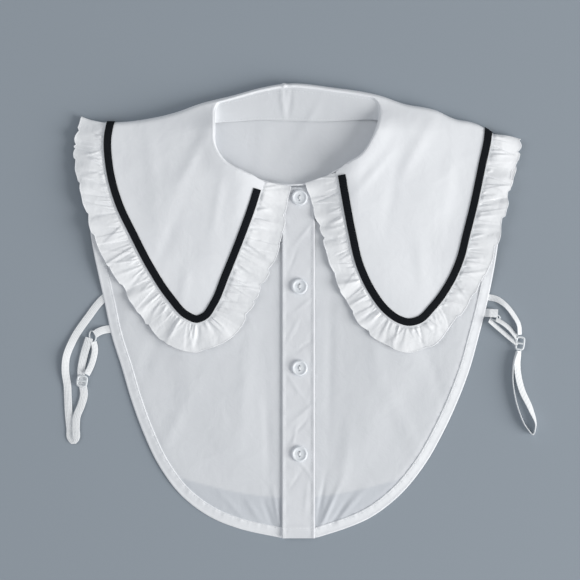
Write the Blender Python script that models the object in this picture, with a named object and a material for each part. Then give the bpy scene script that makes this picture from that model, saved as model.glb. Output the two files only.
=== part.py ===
"""A detachable collar of white cotton poplin, laid flat on its back with the buttons up.

All sizes are in millimetres until a mesh is made. +Y points to the neck, +X to the
right of somebody who looks down on it, +Z up from the surface it lies on, and the
origin is on that surface, under the middle of the whole outline.

The collar leaves are drawn on one flat plane, as a pattern piece is. That plane is then
folded back over the shoulder line, so what lies above the line ends up underneath.
"""
import math

import bpy
import bmesh
import numpy as np

MM = 0.001

# Cloth, trims and the clearance between pieces
CLOTH = 1.0
GAP = 0.3
STEP = CLOTH + GAP
LAP_X = 10.0
HEM_WIDTH = 8.5
HEM_START = 0.004
HEM_STOP = 0.7
PLACKET_WIDTH = 26.5
PLACKET_MIDDLE = -1.3
PLACKET_BOTTOM = -181.6
PLACKET_TOP = 98.6
RIBBON_WIDTH = 6.0
RIBBON_INSET = 1.2
STRAP_WIDTH = 6.2
BUTTON_DIAMETER = 12.8
BUTTON_HEIGHT = 2.2
BUTTON_RIM = 1.6
BUTTON_DISH = 0.7
THREAD_HOLE = 1.5
THREAD_HOLE_SPACING = 3.4
BUTTON_X = -0.4
BUTTON_YS = (90.4, 19.6, -45.6, -114.2)

# Heights of the stack at the shoulders, each one the lower face of its layer
BACK_LIFT = 2.6
FOLD_DEPTH = 3.1
FOLD_HALF = 5.3
SHOULDER_DROP = 4.8
ROLL_AT_FRONT = 1.5
ROLL_AT_SIDES = 4.5
ROLL_AT_BACK = 0.4
ROLL_SPREAD = 13.0
LEAF_EASE = 0.4
FRONT_EASE = 0.35

# Steps of a strip are closer together where it turns: millimetres added for one radian
TURN_WEIGHT_FRONT = 10.0
TURN_WEIGHT_HEM = 8.0
TURN_WEIGHT_STAND = 14.0
TURN_WEIGHT_LEAF = 20.0
TURN_WEIGHT_ACROSS_LEAF = 12.0
TURN_WEIGHT_STRAP = 6.0
SHARP_EDGE = 40.0

# Gathers of the ruffle
GATHER_PITCH = 7.3
GATHER_RISE = 2.4
GATHER_RISE_UNDER = 1.1
GATHER_UNEVEN = 0.28
GATHER_BEAT = 1.9
GATHER_SLOW_BEAT = 0.53
GATHER_DRIFT = 0.8
WAVE_AT_SEAM = 0.12

WHITE = (0.82, 0.84, 0.86, 1.0)
BLACK = (0.008, 0.010, 0.012, 1.0)
PEARL = (0.72, 0.75, 0.80, 1.0)
CLEAR_WHITE = (0.80, 0.82, 0.84, 1.0)

CENTRE_BACK_X = -12.0
LEAF_SECTIONS = 46
LEAF_COLUMNS = 6
STAND_BOW = 0.3
STAND_TURN = 3.0
STAND_UNDER_LEAF = 1.6 * GAP
STAND_LAID_BELOW_LAYERS = 0.5

# Ranges over which a height eases from one level to the next, in millimetres
BACK_LIFT_EASES = (-45.0, -3.0)
FRONT_EASE_EASES = (-75.0, -50.0)
SOFT_FOLD_INSET = (30.0, 55.0)
SOFT_FOLD_TAPER = 2.2
ROLL_SIDE_REACH = (8.0, 44.0)
ROLL_BACK_REACH = (144.0, 164.0)
NECK_MIDDLE_X = -2.0
DROOP_REACH = (1.0, 22.0)
UNDER_DIP_REACH = (9.0, 21.0)

# Steps along a curve, as shares of it, that its direction is taken from
EDGE_STEP = 0.003
SEAM_STEP = 0.002
STRIP_STEP = 0.004
CURVE_SAMPLES = 300
BUTTON_STEPS = 22
HOLE_SIDES = 8
HOLE_TURN = 11.0
RING_SIDES = 18
SLIDER_ROUND = 0.6

# The line that the leaves fold over, which is also the top of the outline: x, y
FOLD_LINE = (
    (-178, 156.5), (-165, 152.5), (-154, 151), (-128, 152.5), (-98, 159), (-80, 165.5),
    (-54, 172), (-30, 178.5), (-12, 181.6), (26, 178.5), (64, 172), (83, 165.5),
    (106, 161), (125, 153), (136, 151), (147, 146.5), (153, 142.5), (171, 139.5), (180, 136),
)

# Front, one row for each section from hem to shoulder: side_x, side_y, centre_x, centre_y
FRONT_LEFT_OF_PHOTO = (
    (-16, -181.4, 10, -181.4),
    (-50.5, -173.5, 10, -172),
    (-67.5, -167, 10, -165),
    (-94.5, -148, 10, -146),
    (-113.5, -122.5, 10, -121),
    (-125.5, -97, 10, -96),
    (-135, -71, 10, -70),
    (-142.5, -45.5, 10, -44),
    (-150.5, -20, 10, -16),
    (-156, 5.5, 10, 12),
    (-161.5, 31, 10, 40),
    (-166.5, 57, 10, 70),
    (-169, 80, 10, 96),
    (-169.5, 95, -9, 98.5),
    (-167.5, 108, -32, 101.5),
    (-163, 122, -55, 110),
    (-157, 133, -68, 126),
    (-150, 142, -71, 145),
    (-144, 148.5, -70.5, 164),
)
FRONT_RIGHT_OF_PHOTO = (
    (13, -181.4, 10.3, -181.4),
    (37.5, -173.5, 10.3, -172),
    (53, -167, 10.3, -165),
    (79, -148, 10.3, -146),
    (100, -122.5, 10.3, -121),
    (114.5, -97, 10.3, -96),
    (126.5, -71, 10.3, -70),
    (136, -45.5, 10.3, -44),
    (143, -20, 10.3, -16),
    (149.5, 5.5, 10.3, 12),
    (154.5, 31, 10.3, 40),
    (158.5, 57, 10.3, 70),
    (161, 80, 10.3, 96),
    (160.5, 95, 18, 100.5),
    (158.5, 108, 36, 110),
    (155, 120, 53, 121.5),
    (151.5, 130, 63, 138),
    (146, 138, 66, 150),
    (139, 146, 66, 164),
)

# Back, one row for each section: left_x, right_x, y, bow of the row towards the hem
BACK = (
    (-100, 87, -131, 17),
    (-112, 98, -113, 13),
    (-122, 111, -90, 7),
    (-131, 122, -62, 3),
    (-142, 134, -22, 0),
    (-154, 147, 28, 0),
    (-160, 152, 62, 0),
    (-162, 154, 95, 0),
    (-156, 149, 122, 0),
    (-140, 134, 155, 0),
)

# Stand, one row for each section from one end round the neck to the other:
# upper_x, upper_y, lower_x, lower_y, layers under its lower edge
STAND = (
    (-10, 100.5, -10, 97.3, 2),
    (-27, 103, -28.5, 99, 2),
    (-47, 110.5, -49, 106.5, 1),
    (-59, 117.5, -62, 115, 1),
    (-67.5, 132, -71, 131, 1),
    (-68, 144, -71.4, 142, 1),
    (-68, 152, -70.6, 147, 1),
    (-67.6, 158.5, -67.6, 149.8, 0.8),
    (-64.5, 164, -63, 150.5, 0.3),
    (-54, 168.6, -54, 151, 0),
    (-30, 175.2, -30, 152.5, 0),
    (-12, 178.6, -12, 152, 0),
    (25, 175.2, 22, 151.4, 0),
    (48, 171.4, 45, 152.4, 0),
    (58.5, 167.5, 57, 152.8, 0.3),
    (62.8, 161.5, 62.6, 151.8, 0.8),
    (63.3, 154, 65.8, 148.6, 1),
    (61.8, 146.5, 65, 143, 1),
    (57.5, 136.5, 61, 134.5, 1),
    (49.5, 124, 52.5, 121, 1),
    (38.5, 116.5, 41, 113, 1),
    (26.5, 110.5, 28.5, 106.5, 2),
    (14.5, 102.7, 16, 98.8, 2),
    (4.6, 101, 4.6, 97.3, 2),
)
STAND_CENTRE_BACK = 11

# Leaves on the unfolded plane, one row for each section from centre front round the
# point and the shoulder to centre back: seam_x, seam_y, edge_x, edge_y, share of neck edge
LEAF_LEFT_OF_PHOTO = (
    (-29, 97.5, -9, 94.5, 0.19),
    (-34, 81, -11.5, 75.5, 0.21),
    (-44, 53.5, -17.5, 45.5, 0.245),
    (-55.5, 25, -31, 16, 0.28),
    (-65.5, 1.5, -43, -6.5, 0.31),
    (-73, -9, -55, -24, 0.335),
    (-82.5, -12.8, -81, -34.8, 0.355),
    (-92.5, -9, -102.5, -30, 0.375),
    (-107, 6.5, -124, -9, 0.41),
    (-123, 31, -144, 20, 0.45),
    (-136.5, 57, -161.5, 49, 0.49),
    (-148.5, 82.5, -172.5, 83, 0.53),
    (-156.5, 114.5, -180.5, 120.5, 0.565),
    (-157.5, 137, -179, 139, 0.59),
    (-155, 151.2, -174.5, 156, 0.62),
    (-153.5, 173.5, -174, 178, 0.65),
    (-142.5, 201.5, -162, 209.5, 0.70),
    (-116, 233, -131, 250.5, 0.78),
    (-76, 261.5, -83, 284, 0.88),
    (-12, 292, -12, 315.5, 1.0),
)
LEAF_RIGHT_OF_PHOTO = (
    (29, 105.5, 5, 97, 0.21),
    (32.5, 85, 9.5, 83, 0.225),
    (37, 61, 17, 58.5, 0.245),
    (44.5, 31, 27, 27, 0.27),
    (54.5, 10.5, 38.5, 2.5, 0.29),
    (66.5, -5, 53, -18.5, 0.315),
    (77, -12.5, 69, -29.5, 0.335),
    (86.5, -15.2, 87, -35.2, 0.35),
    (97, -12.8, 105, -29.5, 0.365),
    (109, -1.5, 125, -9.5, 0.39),
    (122.5, 17.5, 139, 12, 0.42),
    (132, 39, 153, 37.5, 0.45),
    (136.5, 57, 159, 57, 0.48),
    (142.5, 81, 165, 81, 0.51),
    (149.5, 114.5, 171, 111, 0.545),
    (153.5, 133.5, 177, 129, 0.57),
    (154.5, 143, 175, 138, 0.59),
    (152.5, 164, 172, 169, 0.62),
    (142, 194, 161, 203, 0.67),
    (116, 227, 130, 244, 0.75),
    (73.5, 256.5, 81, 279, 0.85),
    (-12, 292, -12, 315.5, 1.0),
)
FOLD_ROW_LEFT = 14
FOLD_ROW_RIGHT = 16

# Elastic straps, one row for each bend: x, y, height of the middle, roll in degrees
STRAP_LEFT = (
    (-154.2, 12.4, 0.5, 0),
    (-157.4, 9.8, 0.5, 0),
    (-169.6, -5.3, 0.5, 0),
    (-181, -22.4, 0.9, 18),
    (-187.2, -38.7, 2, 52),
    (-187.6, -48, 1.6, 40),
    (-186, -60, 0.6, 8),
    (-185.6, -70, 0.5, 0),
    (-185, -82, 0.5, 0),
    (-183.5, -94, 0.5, 0),
    (-181.7, -104, 0.5, 0),
    (-181.6, -104.8, 1.15, 0),
    (-181.5, -104, 1.8, 0),
    (-180.8, -94, 1.8, 0),
    (-179.4, -84, 1.8, 0),
    (-175.2, -76, 1.2, 0),
    (-172.8, -67, 0.5, 0),
    (-174.4, -56, 0.5, 0),
    (-175, -50, 0.5, 0),
    (-173.6, -39, 0.5, 0),
    (-171.6, -31, 1.2, 0),
    (-169.6, -25, 2.1, 0),
    (-168.4, -21.4, 2.2, 0),
)
STRAP_LEFT_RETURN = (
    (-170.4, -50.8, 2.6, 20),
    (-168, -46, 2.4, 40),
    (-165, -38, 2.4, 60),
    (-163.8, -30, 2.4, 60),
    (-164.4, -25.9, 2.4, 60),
)
TAB_LEFT = (
    (-149.4, -14.2, 0.5, 0),
    (-155, -14.8, 0.5, 0),
    (-160.4, -16.4, 1.5, 0),
    (-164.2, -18.8, 2.1, 0),
)
STRAP_RIGHT = (
    (146.4, 11.4, 0.5, 0),
    (151.4, 10.9, 0.5, 0),
    (157, 9.6, 1.2, 20),
    (162.8, 6, 2.4, 50),
    (170.5, -3, 2.4, 55),
    (175, -11.5, 2.4, 55),
    (175.6, -19, 2.4, 55),
)
STRAP_RIGHT_LOOP = (
    (174.9, -31.9, 2.4, 66),
    (173.6, -44, 2.6, 66),
    (177, -62, 2.7, 62),
    (184.6, -79, 2.8, 72),
    (188.4, -92, 2.9, 84),
    (186.3, -98.6, 3, 90),
    (181, -93, 3, 90),
    (175, -80, 3, 90),
    (171.4, -66, 3, 90),
    (169.6, -52, 3, 90),
    (169.6, -45, 3, 90),
)
STRAP_RIGHT_RETURN = (
    (156.6, -6.6, 4.1, 60),
    (161.5, -9.4, 3.4, 60),
    (167.6, -14.2, 2.5, 60),
    (171, -18.2, 2.5, 60),
)
STRAP_RIGHT_LOWER_RETURN = (
    (151, -7.4, 3.9, 60),
    (156.5, -12.2, 2.8, 60),
    (163.6, -18.2, 2.5, 60),
    (171.1, -24.3, 2.5, 60),
)
TAB_RIGHT = (
    (145.6, -1.2, 0.5, 0),
    (148.8, -1.3, 0.5, 0),
    (151, -1.5, 2.1, 0),
    (154, -1.7, 2.3, 0),
    (158.2, -2, 2.3, 0),
)


def smooth(value, low=0.0, high=1.0):
    """Ease from 0 at low to 1 at high."""
    share = np.clip((value - low) / (high - low), 0.0, 1.0)
    return share * share * (3.0 - 2.0 * share)


def spline(rows):
    """Return a function of 0..1 that runs smoothly through the rows, by length in x and y."""
    points = np.array(rows, float)
    steps = np.linalg.norm(np.diff(points[:, :2], axis=0), axis=1)
    knots = np.concatenate(([0.0], np.cumsum(steps))) / steps.sum()
    slopes = np.gradient(points, knots, axis=0)

    def at(share):
        share = min(max(share, 0.0), 1.0)
        piece = min(int(np.searchsorted(knots, share, side="right")) - 1, len(knots) - 2)
        width = knots[piece + 1] - knots[piece]
        t = (share - knots[piece]) / width
        start = (2 * t**3 - 3 * t**2 + 1) * points[piece]
        start_slope = (t**3 - 2 * t**2 + t) * width * slopes[piece]
        end = (3 * t**2 - 2 * t**3) * points[piece + 1]
        end_slope = (t**3 - t**2) * width * slopes[piece + 1]
        return start + start_slope + end + end_slope

    at.knots = knots
    return at


def line_of(curve, count=240):
    """Return evenly spaced x, y points along a curve."""
    return np.array([curve(share)[:2] for share in np.linspace(0.0, 1.0, count)])


def distance_to(line, x, y):
    """Return how far a point lies from an open chain of x, y points."""
    starts = line[:-1]
    runs = line[1:] - starts
    away = np.array([x, y]) - starts
    share = np.clip((away * runs).sum(1) / np.maximum((runs * runs).sum(1), 1e-9), 0.0, 1.0)
    return float(np.linalg.norm(away - runs * share[:, None], axis=1).min())


def inside(loop, x, y):
    """Tell whether a point lies within a closed chain of x, y points."""
    ends = np.roll(loop, -1, axis=0)
    crosses = (loop[:, 1] > y) != (ends[:, 1] > y)
    a = loop[crosses]
    b = ends[crosses]
    cut = a[:, 0] + (y - a[:, 1]) * (b[:, 0] - a[:, 0]) / (b[:, 1] - a[:, 1])
    return int((cut > x).sum()) % 2 == 1


FOLD_CHAIN = line_of(spline(FOLD_LINE), 400)


def fold_y(x):
    """Return the height of the fold line on the plan at x."""
    return float(np.interp(x, FOLD_CHAIN[:, 0], FOLD_CHAIN[:, 1]))


def folded_y(x, y):
    """Return where a point of the unfolded plane ends up on the plan."""
    line = fold_y(x)
    past = y - line
    turn = np.clip(-past / FOLD_HALF, -1.0, 1.0) * math.pi / 2
    return line - FOLD_DEPTH * (1.0 - math.cos(turn)) - max(0.0, abs(past) - FOLD_HALF)


FRONT_CURVES = (spline(FRONT_LEFT_OF_PHOTO), spline(FRONT_RIGHT_OF_PHOTO))


def front_side_line(side):
    """Return the outer edge of one front as a chain of points, from hem to shoulder."""
    return line_of(FRONT_CURVES[side])


def body_loop():
    """Return the outline of the fronts and the neck together as a closed chain."""
    left = front_side_line(0)
    right = front_side_line(1)
    across = FOLD_CHAIN[(FOLD_CHAIN[:, 0] > left[-1, 0]) & (FOLD_CHAIN[:, 0] < right[-1, 0])]
    return np.vstack((left, across - (0.0, FOLD_DEPTH), right[::-1]))


BACK_CURVE = spline([(left, y, right, bow) for left, right, y, bow in BACK])


def back_point(share, across):
    """Return a point of the back panel: share from hem to neck, across from left to right."""
    left, y, right, bow = BACK_CURVE(share)
    x = left + (right - left) * across
    level = y - bow * math.sin(math.pi * across)
    return x, min(level, fold_y(x) - SHOULDER_DROP)


def under_reach():
    """Return how far towards the hem the ruffle underneath reaches."""
    return folded_y(*LEAF_LEFT_OF_PHOTO[-1][2:4])


BODY = body_loop()
UNDER_REACH = under_reach()
NECK_EDGE = spline([row[:2] for row in STAND])
NECK_CHAIN = line_of(NECK_EDGE, CURVE_SAMPLES)
SEAMS = [spline([row[:2] for row in rows]) for rows in (LEAF_LEFT_OF_PHOTO, LEAF_RIGHT_OF_PHOTO)]
SEAM_CHAIN = np.vstack((line_of(SEAMS[0], CURVE_SAMPLES), line_of(SEAMS[1], CURVE_SAMPLES)[::-1]))

# Soft folds of the fronts and leaves: x, y, length, width, height, direction in degrees
SOFT_FOLDS = (
    (-96, -40, 150, 24, 1.3, 78),
    (-56, -70, 190, 22, 1.0, 92),
    (58, -70, 170, 22, 1.1, 86),
    (98, -40, 150, 24, 1.4, 104),
    (-104, 90, 90, 20, 1.2, 74),
    (-70, 50, 110, 22, 1.0, 70),
    (104, 90, 100, 20, 1.5, 66),
    (62, 50, 110, 22, 1.2, 112),
)


def relief(x, y):
    """Return how much the soft folds lift the cloth at a point."""
    height = 0.0
    for fold_x, fold_y_middle, length, width, rise, degrees in SOFT_FOLDS:
        turn = math.radians(degrees)
        along = (x - fold_x) * math.cos(turn) + (y - fold_y_middle) * math.sin(turn)
        across = -(x - fold_x) * math.sin(turn) + (y - fold_y_middle) * math.cos(turn)
        height += rise * math.exp(-((SOFT_FOLD_TAPER * along / length) ** 2) - (across / width) ** 2)
    return height


def back_height(x, y):
    """Return the lower face of the back panel, which lies over the collar folded beneath it.

    The height is the same all the way across, so x isn't used.
    """
    return BACK_LIFT * float(smooth(y - UNDER_REACH, *BACK_LIFT_EASES))


def front_height(x, y):
    """Return the lower face of the fronts, which lie on the back panel."""
    ease = FRONT_EASE * float(smooth(y - UNDER_REACH, *FRONT_EASE_EASES))
    flat_edge = float(smooth(distance_to(BODY, x, y), *SOFT_FOLD_INSET))
    return back_height(x, y) + STEP + ease + relief(x, y) * flat_edge


def neck_roll(x, y):
    """Return how much the leaf rises where it rolls over the neck edge."""
    to_side = smooth(abs(x - NECK_MIDDLE_X), *ROLL_SIDE_REACH)
    round_front = ROLL_AT_FRONT + (ROLL_AT_SIDES - ROLL_AT_FRONT) * to_side
    amount = round_front + (ROLL_AT_BACK - round_front) * smooth(y, *ROLL_BACK_REACH)
    return float(amount) * math.exp(-((distance_to(NECK_CHAIN, x, y) / ROLL_SPREAD) ** 2))


def leaf_top(x, y):
    """Return the upper face of the leaf where it lies on the fronts, or hangs past their edge."""
    off_body = 0.0 if inside(BODY, x, y) else distance_to(BODY, x, y)
    base = back_height(x, y)
    over_fronts = front_height(x, y) - base + 2 * STEP + LEAF_EASE
    droop = float(smooth(off_body, *DROOP_REACH))
    return base + over_fronts * (1.0 - droop) + CLOTH + neck_roll(x, y)


def leaf_under(x, y_flat):
    """Return the lower face of the collar under the back panel: its ribbon lies on the surface."""
    if not inside(SEAM_CHAIN, x, y_flat):
        return STEP
    from_seam = distance_to(SEAM_CHAIN, x, y_flat)
    return STEP * (1.0 - float(smooth(from_seam, *UNDER_DIP_REACH)))


def leaf_point(x, y_flat):
    """Fold a point of the leaf's flat pattern to its place, on the outer face of the cloth."""
    line = fold_y(x)
    past = y_flat - line
    turn = float(np.clip(-past / FOLD_HALF, -1.0, 1.0)) * math.pi / 2
    y = folded_y(x, y_flat)
    top = leaf_top(x, y)
    under = 0.0
    if past > -FOLD_HALF:
        under = leaf_under(x, y_flat)
    middle = (top + under) / 2
    return np.array((x, y, middle + (top - under) / 2 * math.sin(turn)))


def leaf_normal(x, y_flat, step=0.4):
    """Return the direction that the leaf's outer face looks in."""
    along_x = leaf_point(x + step, y_flat) - leaf_point(x - step, y_flat)
    along_y = leaf_point(x, y_flat + step) - leaf_point(x, y_flat - step)
    normal = np.cross(along_x, along_y)
    return normal / np.linalg.norm(normal)


def spread(curve, count, turn_weight, start=0.0, end=1.0):
    """Return shares of a curve whose steps are short where the curve turns."""
    shares = np.linspace(start, end, CURVE_SAMPLES)
    points = np.array([curve(share) for share in shares])
    runs = np.diff(points, axis=0)
    lengths = np.linalg.norm(runs, axis=1)
    ways = runs / np.maximum(lengths, 1e-9)[:, None]
    turns = np.linalg.norm(np.diff(ways, axis=0), axis=1)
    effort = lengths + turn_weight * np.concatenate(([0.0], turns))
    travelled = np.concatenate(([0.0], np.cumsum(effort)))
    return np.interp(np.linspace(0.0, travelled[-1], count), travelled, shares)


def make_material(name, colour, roughness):
    """Return a plain Principled material."""
    material = bpy.data.materials.new(name)
    material.use_nodes = True
    shader = material.node_tree.nodes["Principled BSDF"]
    shader.inputs["Base Color"].default_value = colour
    shader.inputs["Roughness"].default_value = roughness
    shader.inputs["Metallic"].default_value = 0.0
    material.diffuse_color = colour
    return material


def add_object(name, mesh_builder, material):
    """Put a bmesh into the collar's collection as one named object."""
    mesh = bpy.data.meshes.new(name)
    bmesh.ops.recalc_face_normals(mesh_builder, faces=mesh_builder.faces)
    mesh_builder.to_mesh(mesh)
    mesh_builder.free()
    mesh.materials.append(material)
    mesh.shade_smooth()
    mesh.set_sharp_from_angle(angle=math.radians(SHARP_EDGE))
    piece = bpy.data.objects.new(name, mesh)
    COLLAR.objects.link(piece)
    return piece


def wall_between(name, outer, inner, material):
    """Close two matching grids of points into one wall of cloth."""
    rows, columns = outer.shape[:2]
    work = bmesh.new()
    layers = []
    for grid in (outer, inner):
        layers.append([[work.verts.new(point * MM) for point in row] for row in grid])
    for row in range(rows - 1):
        for column in range(columns - 1):
            for layer in layers:
                work.faces.new((layer[row][column], layer[row + 1][column],
                                layer[row + 1][column + 1], layer[row][column + 1]))
    rim = [(0, column) for column in range(columns)]
    rim += [(row, columns - 1) for row in range(1, rows)]
    rim += [(rows - 1, column) for column in range(columns - 2, -1, -1)]
    rim += [(row, 0) for row in range(rows - 2, 0, -1)]
    for here, there in zip(rim, rim[1:] + rim[:1]):
        work.faces.new((layers[0][here[0]][here[1]], layers[0][there[0]][there[1]],
                        layers[1][there[0]][there[1]], layers[1][here[0]][here[1]]))
    return add_object(name, work, material)


def lying_wall(name, plan, height, thickness, material):
    """Make a wall from a plan grid of x, y and a function for its lower face."""
    lower = np.array([[(x, y, height(x, y)) for x, y in row] for row in plan])
    upper = lower + np.array((0.0, 0.0, thickness))
    return wall_between(name, upper, lower, material)


def front_plan(side, sections=34, columns=8):
    """Return the plan grid of one front."""
    curve = FRONT_CURVES[side]
    grid = []
    for share in spread(curve, sections, TURN_WEIGHT_FRONT):
        side_x, side_y, centre_x, centre_y = curve(share)
        row = []
        for across in np.linspace(0.0, 1.0, columns):
            x = side_x + (centre_x - side_x) * across
            x = max(x, LAP_X + GAP) if side else min(x, LAP_X)
            y = side_y + (centre_y - side_y) * across
            row.append((x, min(y, fold_y(x) - SHOULDER_DROP)))
        grid.append(row)
    return grid


def make_fronts():
    """The two fronts lie on the back panel and reach a little past its edge."""
    lying_wall("front_wearer_right", front_plan(0), front_height, CLOTH, POPLIN)
    lying_wall("front_wearer_left", front_plan(1), front_height, CLOTH, POPLIN)


def make_back(sections=25, columns=13):
    """The back panel is shorter than the fronts and bowed at its hem."""
    plan = [[back_point(share, across) for across in np.linspace(0.0, 1.0, columns)]
            for share in np.linspace(0.0, 1.0, sections)]
    lying_wall("back_panel", plan, back_height, CLOTH, POPLIN)


def on_fronts(x, y):
    """Return the lower face of what lies on the fronts."""
    return front_height(x, y) + STEP


def make_hems(sections=34):
    """A turned hem lies on the outer edge of each front, up to the collar's ruffle."""
    for side, name in enumerate(("hem_wearer_right", "hem_wearer_left")):
        curve = FRONT_CURVES[side]
        shares = spread(curve, sections, TURN_WEIGHT_HEM, HEM_START, HEM_STOP)
        inward = -1.0 if side else 1.0
        plan = []
        for share in shares:
            here = curve(share)[:2]
            way = curve(min(share + EDGE_STEP, 1.0))[:2] - curve(max(share - EDGE_STEP, 0.0))[:2]
            way = way / np.linalg.norm(way)
            normal = np.array((way[1], -way[0])) * inward
            plan.append([here + normal * reach for reach in (0.0, HEM_WIDTH / 2, HEM_WIDTH)])
        keep_off_placket(plan)
        lying_wall(name, plan, on_fronts, CLOTH, POPLIN)


def keep_off_placket(plan):
    """Push the points of a plan away from the placket's long edges."""
    left = PLACKET_MIDDLE - PLACKET_WIDTH / 2 - 2 * GAP
    right = PLACKET_MIDDLE + PLACKET_WIDTH / 2 + 2 * GAP
    for row in plan:
        for place in row:
            if left < place[0] < right:
                place[0] = left if place[0] < PLACKET_MIDDLE else right


def make_placket(sections=26):
    """The button placket runs down the middle on top of both fronts."""
    plan = []
    for y in np.linspace(PLACKET_BOTTOM, PLACKET_TOP, sections):
        across = np.linspace(-PLACKET_WIDTH / 2, PLACKET_WIDTH / 2, 5)
        plan.append([(PLACKET_MIDDLE + reach, y) for reach in across])
    lying_wall("placket", plan, on_fronts, CLOTH, POPLIN)


# Underside and edge of a button: share of its radius, share of its height
BUTTON_PROFILE = ((0.0, 0.0), (0.62, 0.0), (0.94, 0.18), (1.0, 0.5), (0.92, 0.94))


def make_button(name, x, y, floor):
    """A sew-through button is a turned disc with a raised rim and two holes."""
    radius = BUTTON_DIAMETER / 2
    points = [(radius * share, BUTTON_HEIGHT * level) for share, level in BUTTON_PROFILE]
    points.append((radius - BUTTON_RIM, BUTTON_HEIGHT))
    points.append((radius - BUTTON_RIM - BUTTON_DISH, BUTTON_HEIGHT - BUTTON_DISH))
    points.append((0.0, BUTTON_HEIGHT - BUTTON_DISH))
    work = bmesh.new()
    chain = [work.verts.new((px * MM, 0.0, pz * MM)) for px, pz in points]
    edges = [work.edges.new(pair) for pair in zip(chain, chain[1:])]
    bmesh.ops.spin(work, geom=chain + edges, cent=(0, 0, 0), axis=(0, 0, 1),
                   angle=2 * math.pi, steps=BUTTON_STEPS, use_duplicate=False)
    bmesh.ops.remove_doubles(work, verts=work.verts, dist=0.00002)
    disc = add_object(name, work, BUTTON)
    disc.location = (x * MM, y * MM, floor * MM)
    for row in (-1, 1):
        cut = disc.modifiers.new("thread_hole", "BOOLEAN")
        cut.operation = "DIFFERENCE"
        cut.object = add_cutter(name, row, x, y, floor)
    return disc


def add_cutter(name, row, x, y, floor):
    """Make one upright cylinder that bores a thread hole."""
    work = bmesh.new()
    bmesh.ops.create_cone(work, cap_ends=True, segments=HOLE_SIDES, radius1=THREAD_HOLE / 2 * MM,
                          radius2=THREAD_HOLE / 2 * MM, depth=3 * BUTTON_HEIGHT * MM)
    mesh = bpy.data.meshes.new(name + "_cutter")
    work.to_mesh(mesh)
    work.free()
    cutter = bpy.data.objects.new(f"{name}_hole_{row}", mesh)
    cutter.location = (x * MM, (y + row * THREAD_HOLE_SPACING / 2) * MM, floor * MM)
    cutter.rotation_euler = (0.0, 0.0, math.radians(HOLE_TURN))
    cutter.hide_render = True
    cutter.display_type = "WIRE"
    CUTTERS.objects.link(cutter)
    return cutter


def make_buttons():
    """Four buttons lie on the placket."""
    for number, y in enumerate(BUTTON_YS, 1):
        reach = BUTTON_DIAMETER / 2
        tops = [on_fronts(BUTTON_X + reach * math.cos(t), y + reach * math.sin(t))
                for t in np.linspace(0.0, 2 * math.pi, 12, endpoint=False)]
        make_button(f"button_{number}", BUTTON_X, y, max(tops) + STEP)


def make_stand(sections=56):
    """The stand goes round the neck: upright at the sides, laid back behind."""
    curve = spline(STAND)
    outer = []
    inner = []
    for share in spread(curve, sections, TURN_WEIGHT_STAND):
        upper_x, upper_y, lower_x, lower_y, layers = curve(share)
        upper_z = leaf_top(upper_x, upper_y) - CLOTH - STAND_UNDER_LEAF
        lower_z = max(front_height(lower_x, lower_y), BACK_LIFT + STEP) + layers * STEP
        lower_z = max(lower_z, BACK_LIFT + STEP) + CLOTH
        if layers < STAND_LAID_BELOW_LAYERS:
            lower_z = BACK_LIFT + STEP * (1.0 + layers) + CLOTH
        foot = np.array((lower_x, lower_y, lower_z))
        head = np.array((upper_x, upper_y, upper_z))
        way = curve(min(share + STRIP_STEP, 1.0))[:2] - curve(max(share - STRIP_STEP, 0.0))[:2]
        round_neck = np.array((way[0], way[1], 0.0)) / np.linalg.norm(way)
        rise = (head - foot) / np.linalg.norm(head - foot)
        face = np.cross(round_neck, rise)
        face /= np.linalg.norm(face)
        hung = max(-1.0, min(1.0, face[2] * STAND_TURN))
        row = [foot, (foot + head) / 2 + face * hung * STAND_BOW, head]
        middle = [point - face * hung * CLOTH / 2 for point in row]
        outer.append([point + face * CLOTH / 2 for point in middle])
        inner.append([point - face * CLOTH / 2 for point in middle])
    return wall_between("stand", np.array(outer), np.array(inner), POPLIN)


def neck_share_curve(side):
    """Return the neck edge of one side as a function of 0 at centre front to 1 at centre back."""
    rows = STAND[:STAND_CENTRE_BACK + 1] if side == 0 else STAND[:STAND_CENTRE_BACK - 1:-1]
    return spline([row[:2] for row in rows])


LEAF_TABLES = (LEAF_LEFT_OF_PHOTO, LEAF_RIGHT_OF_PHOTO)


def leaf_section(side, share):
    """Return neck, seam and ruffle-edge points of one section on the flat pattern."""
    seam_x, seam_y, edge_x, edge_y, along_neck = LEAF_CURVES[side](share)
    neck = NECK_CURVES[side](along_neck)
    neck_y = min(neck[1], fold_y(neck[0]) - FOLD_HALF)
    return np.array((neck[0], neck_y)), np.array((seam_x, seam_y)), np.array((edge_x, edge_y))


LEAF_CURVES = [spline(rows) for rows in LEAF_TABLES]
NECK_CURVES = [neck_share_curve(side) for side in (0, 1)]


def is_back(side, share):
    """Tell whether a section lies past the fold line."""
    fold_row = FOLD_ROW_RIGHT if side else FOLD_ROW_LEFT
    return share > LEAF_CURVES[side].knots[fold_row]


def cloth_pair(x, y_flat, offset, thickness):
    """Return outer and inner points at a place of the pattern, moved out along its face."""
    place = leaf_point(x, y_flat)
    normal = leaf_normal(x, y_flat)
    return place + normal * (offset + thickness), place + normal * offset


def seam_way(side, share):
    """Return the seam's place and its outward direction on the flat pattern."""
    seam = LEAF_CURVES[side]
    here = seam(share)[:2]
    way = seam(min(share + SEAM_STEP, 1.0))[:2] - seam(max(share - SEAM_STEP, 0.0))[:2]
    way = way / np.linalg.norm(way)
    outward = np.array((-way[1], way[0]))
    if side == 0:
        outward = -outward
    edge = seam(share)[2:4]
    if np.dot(edge - here, outward) < 0:
        outward = -outward
    return here, outward


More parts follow.
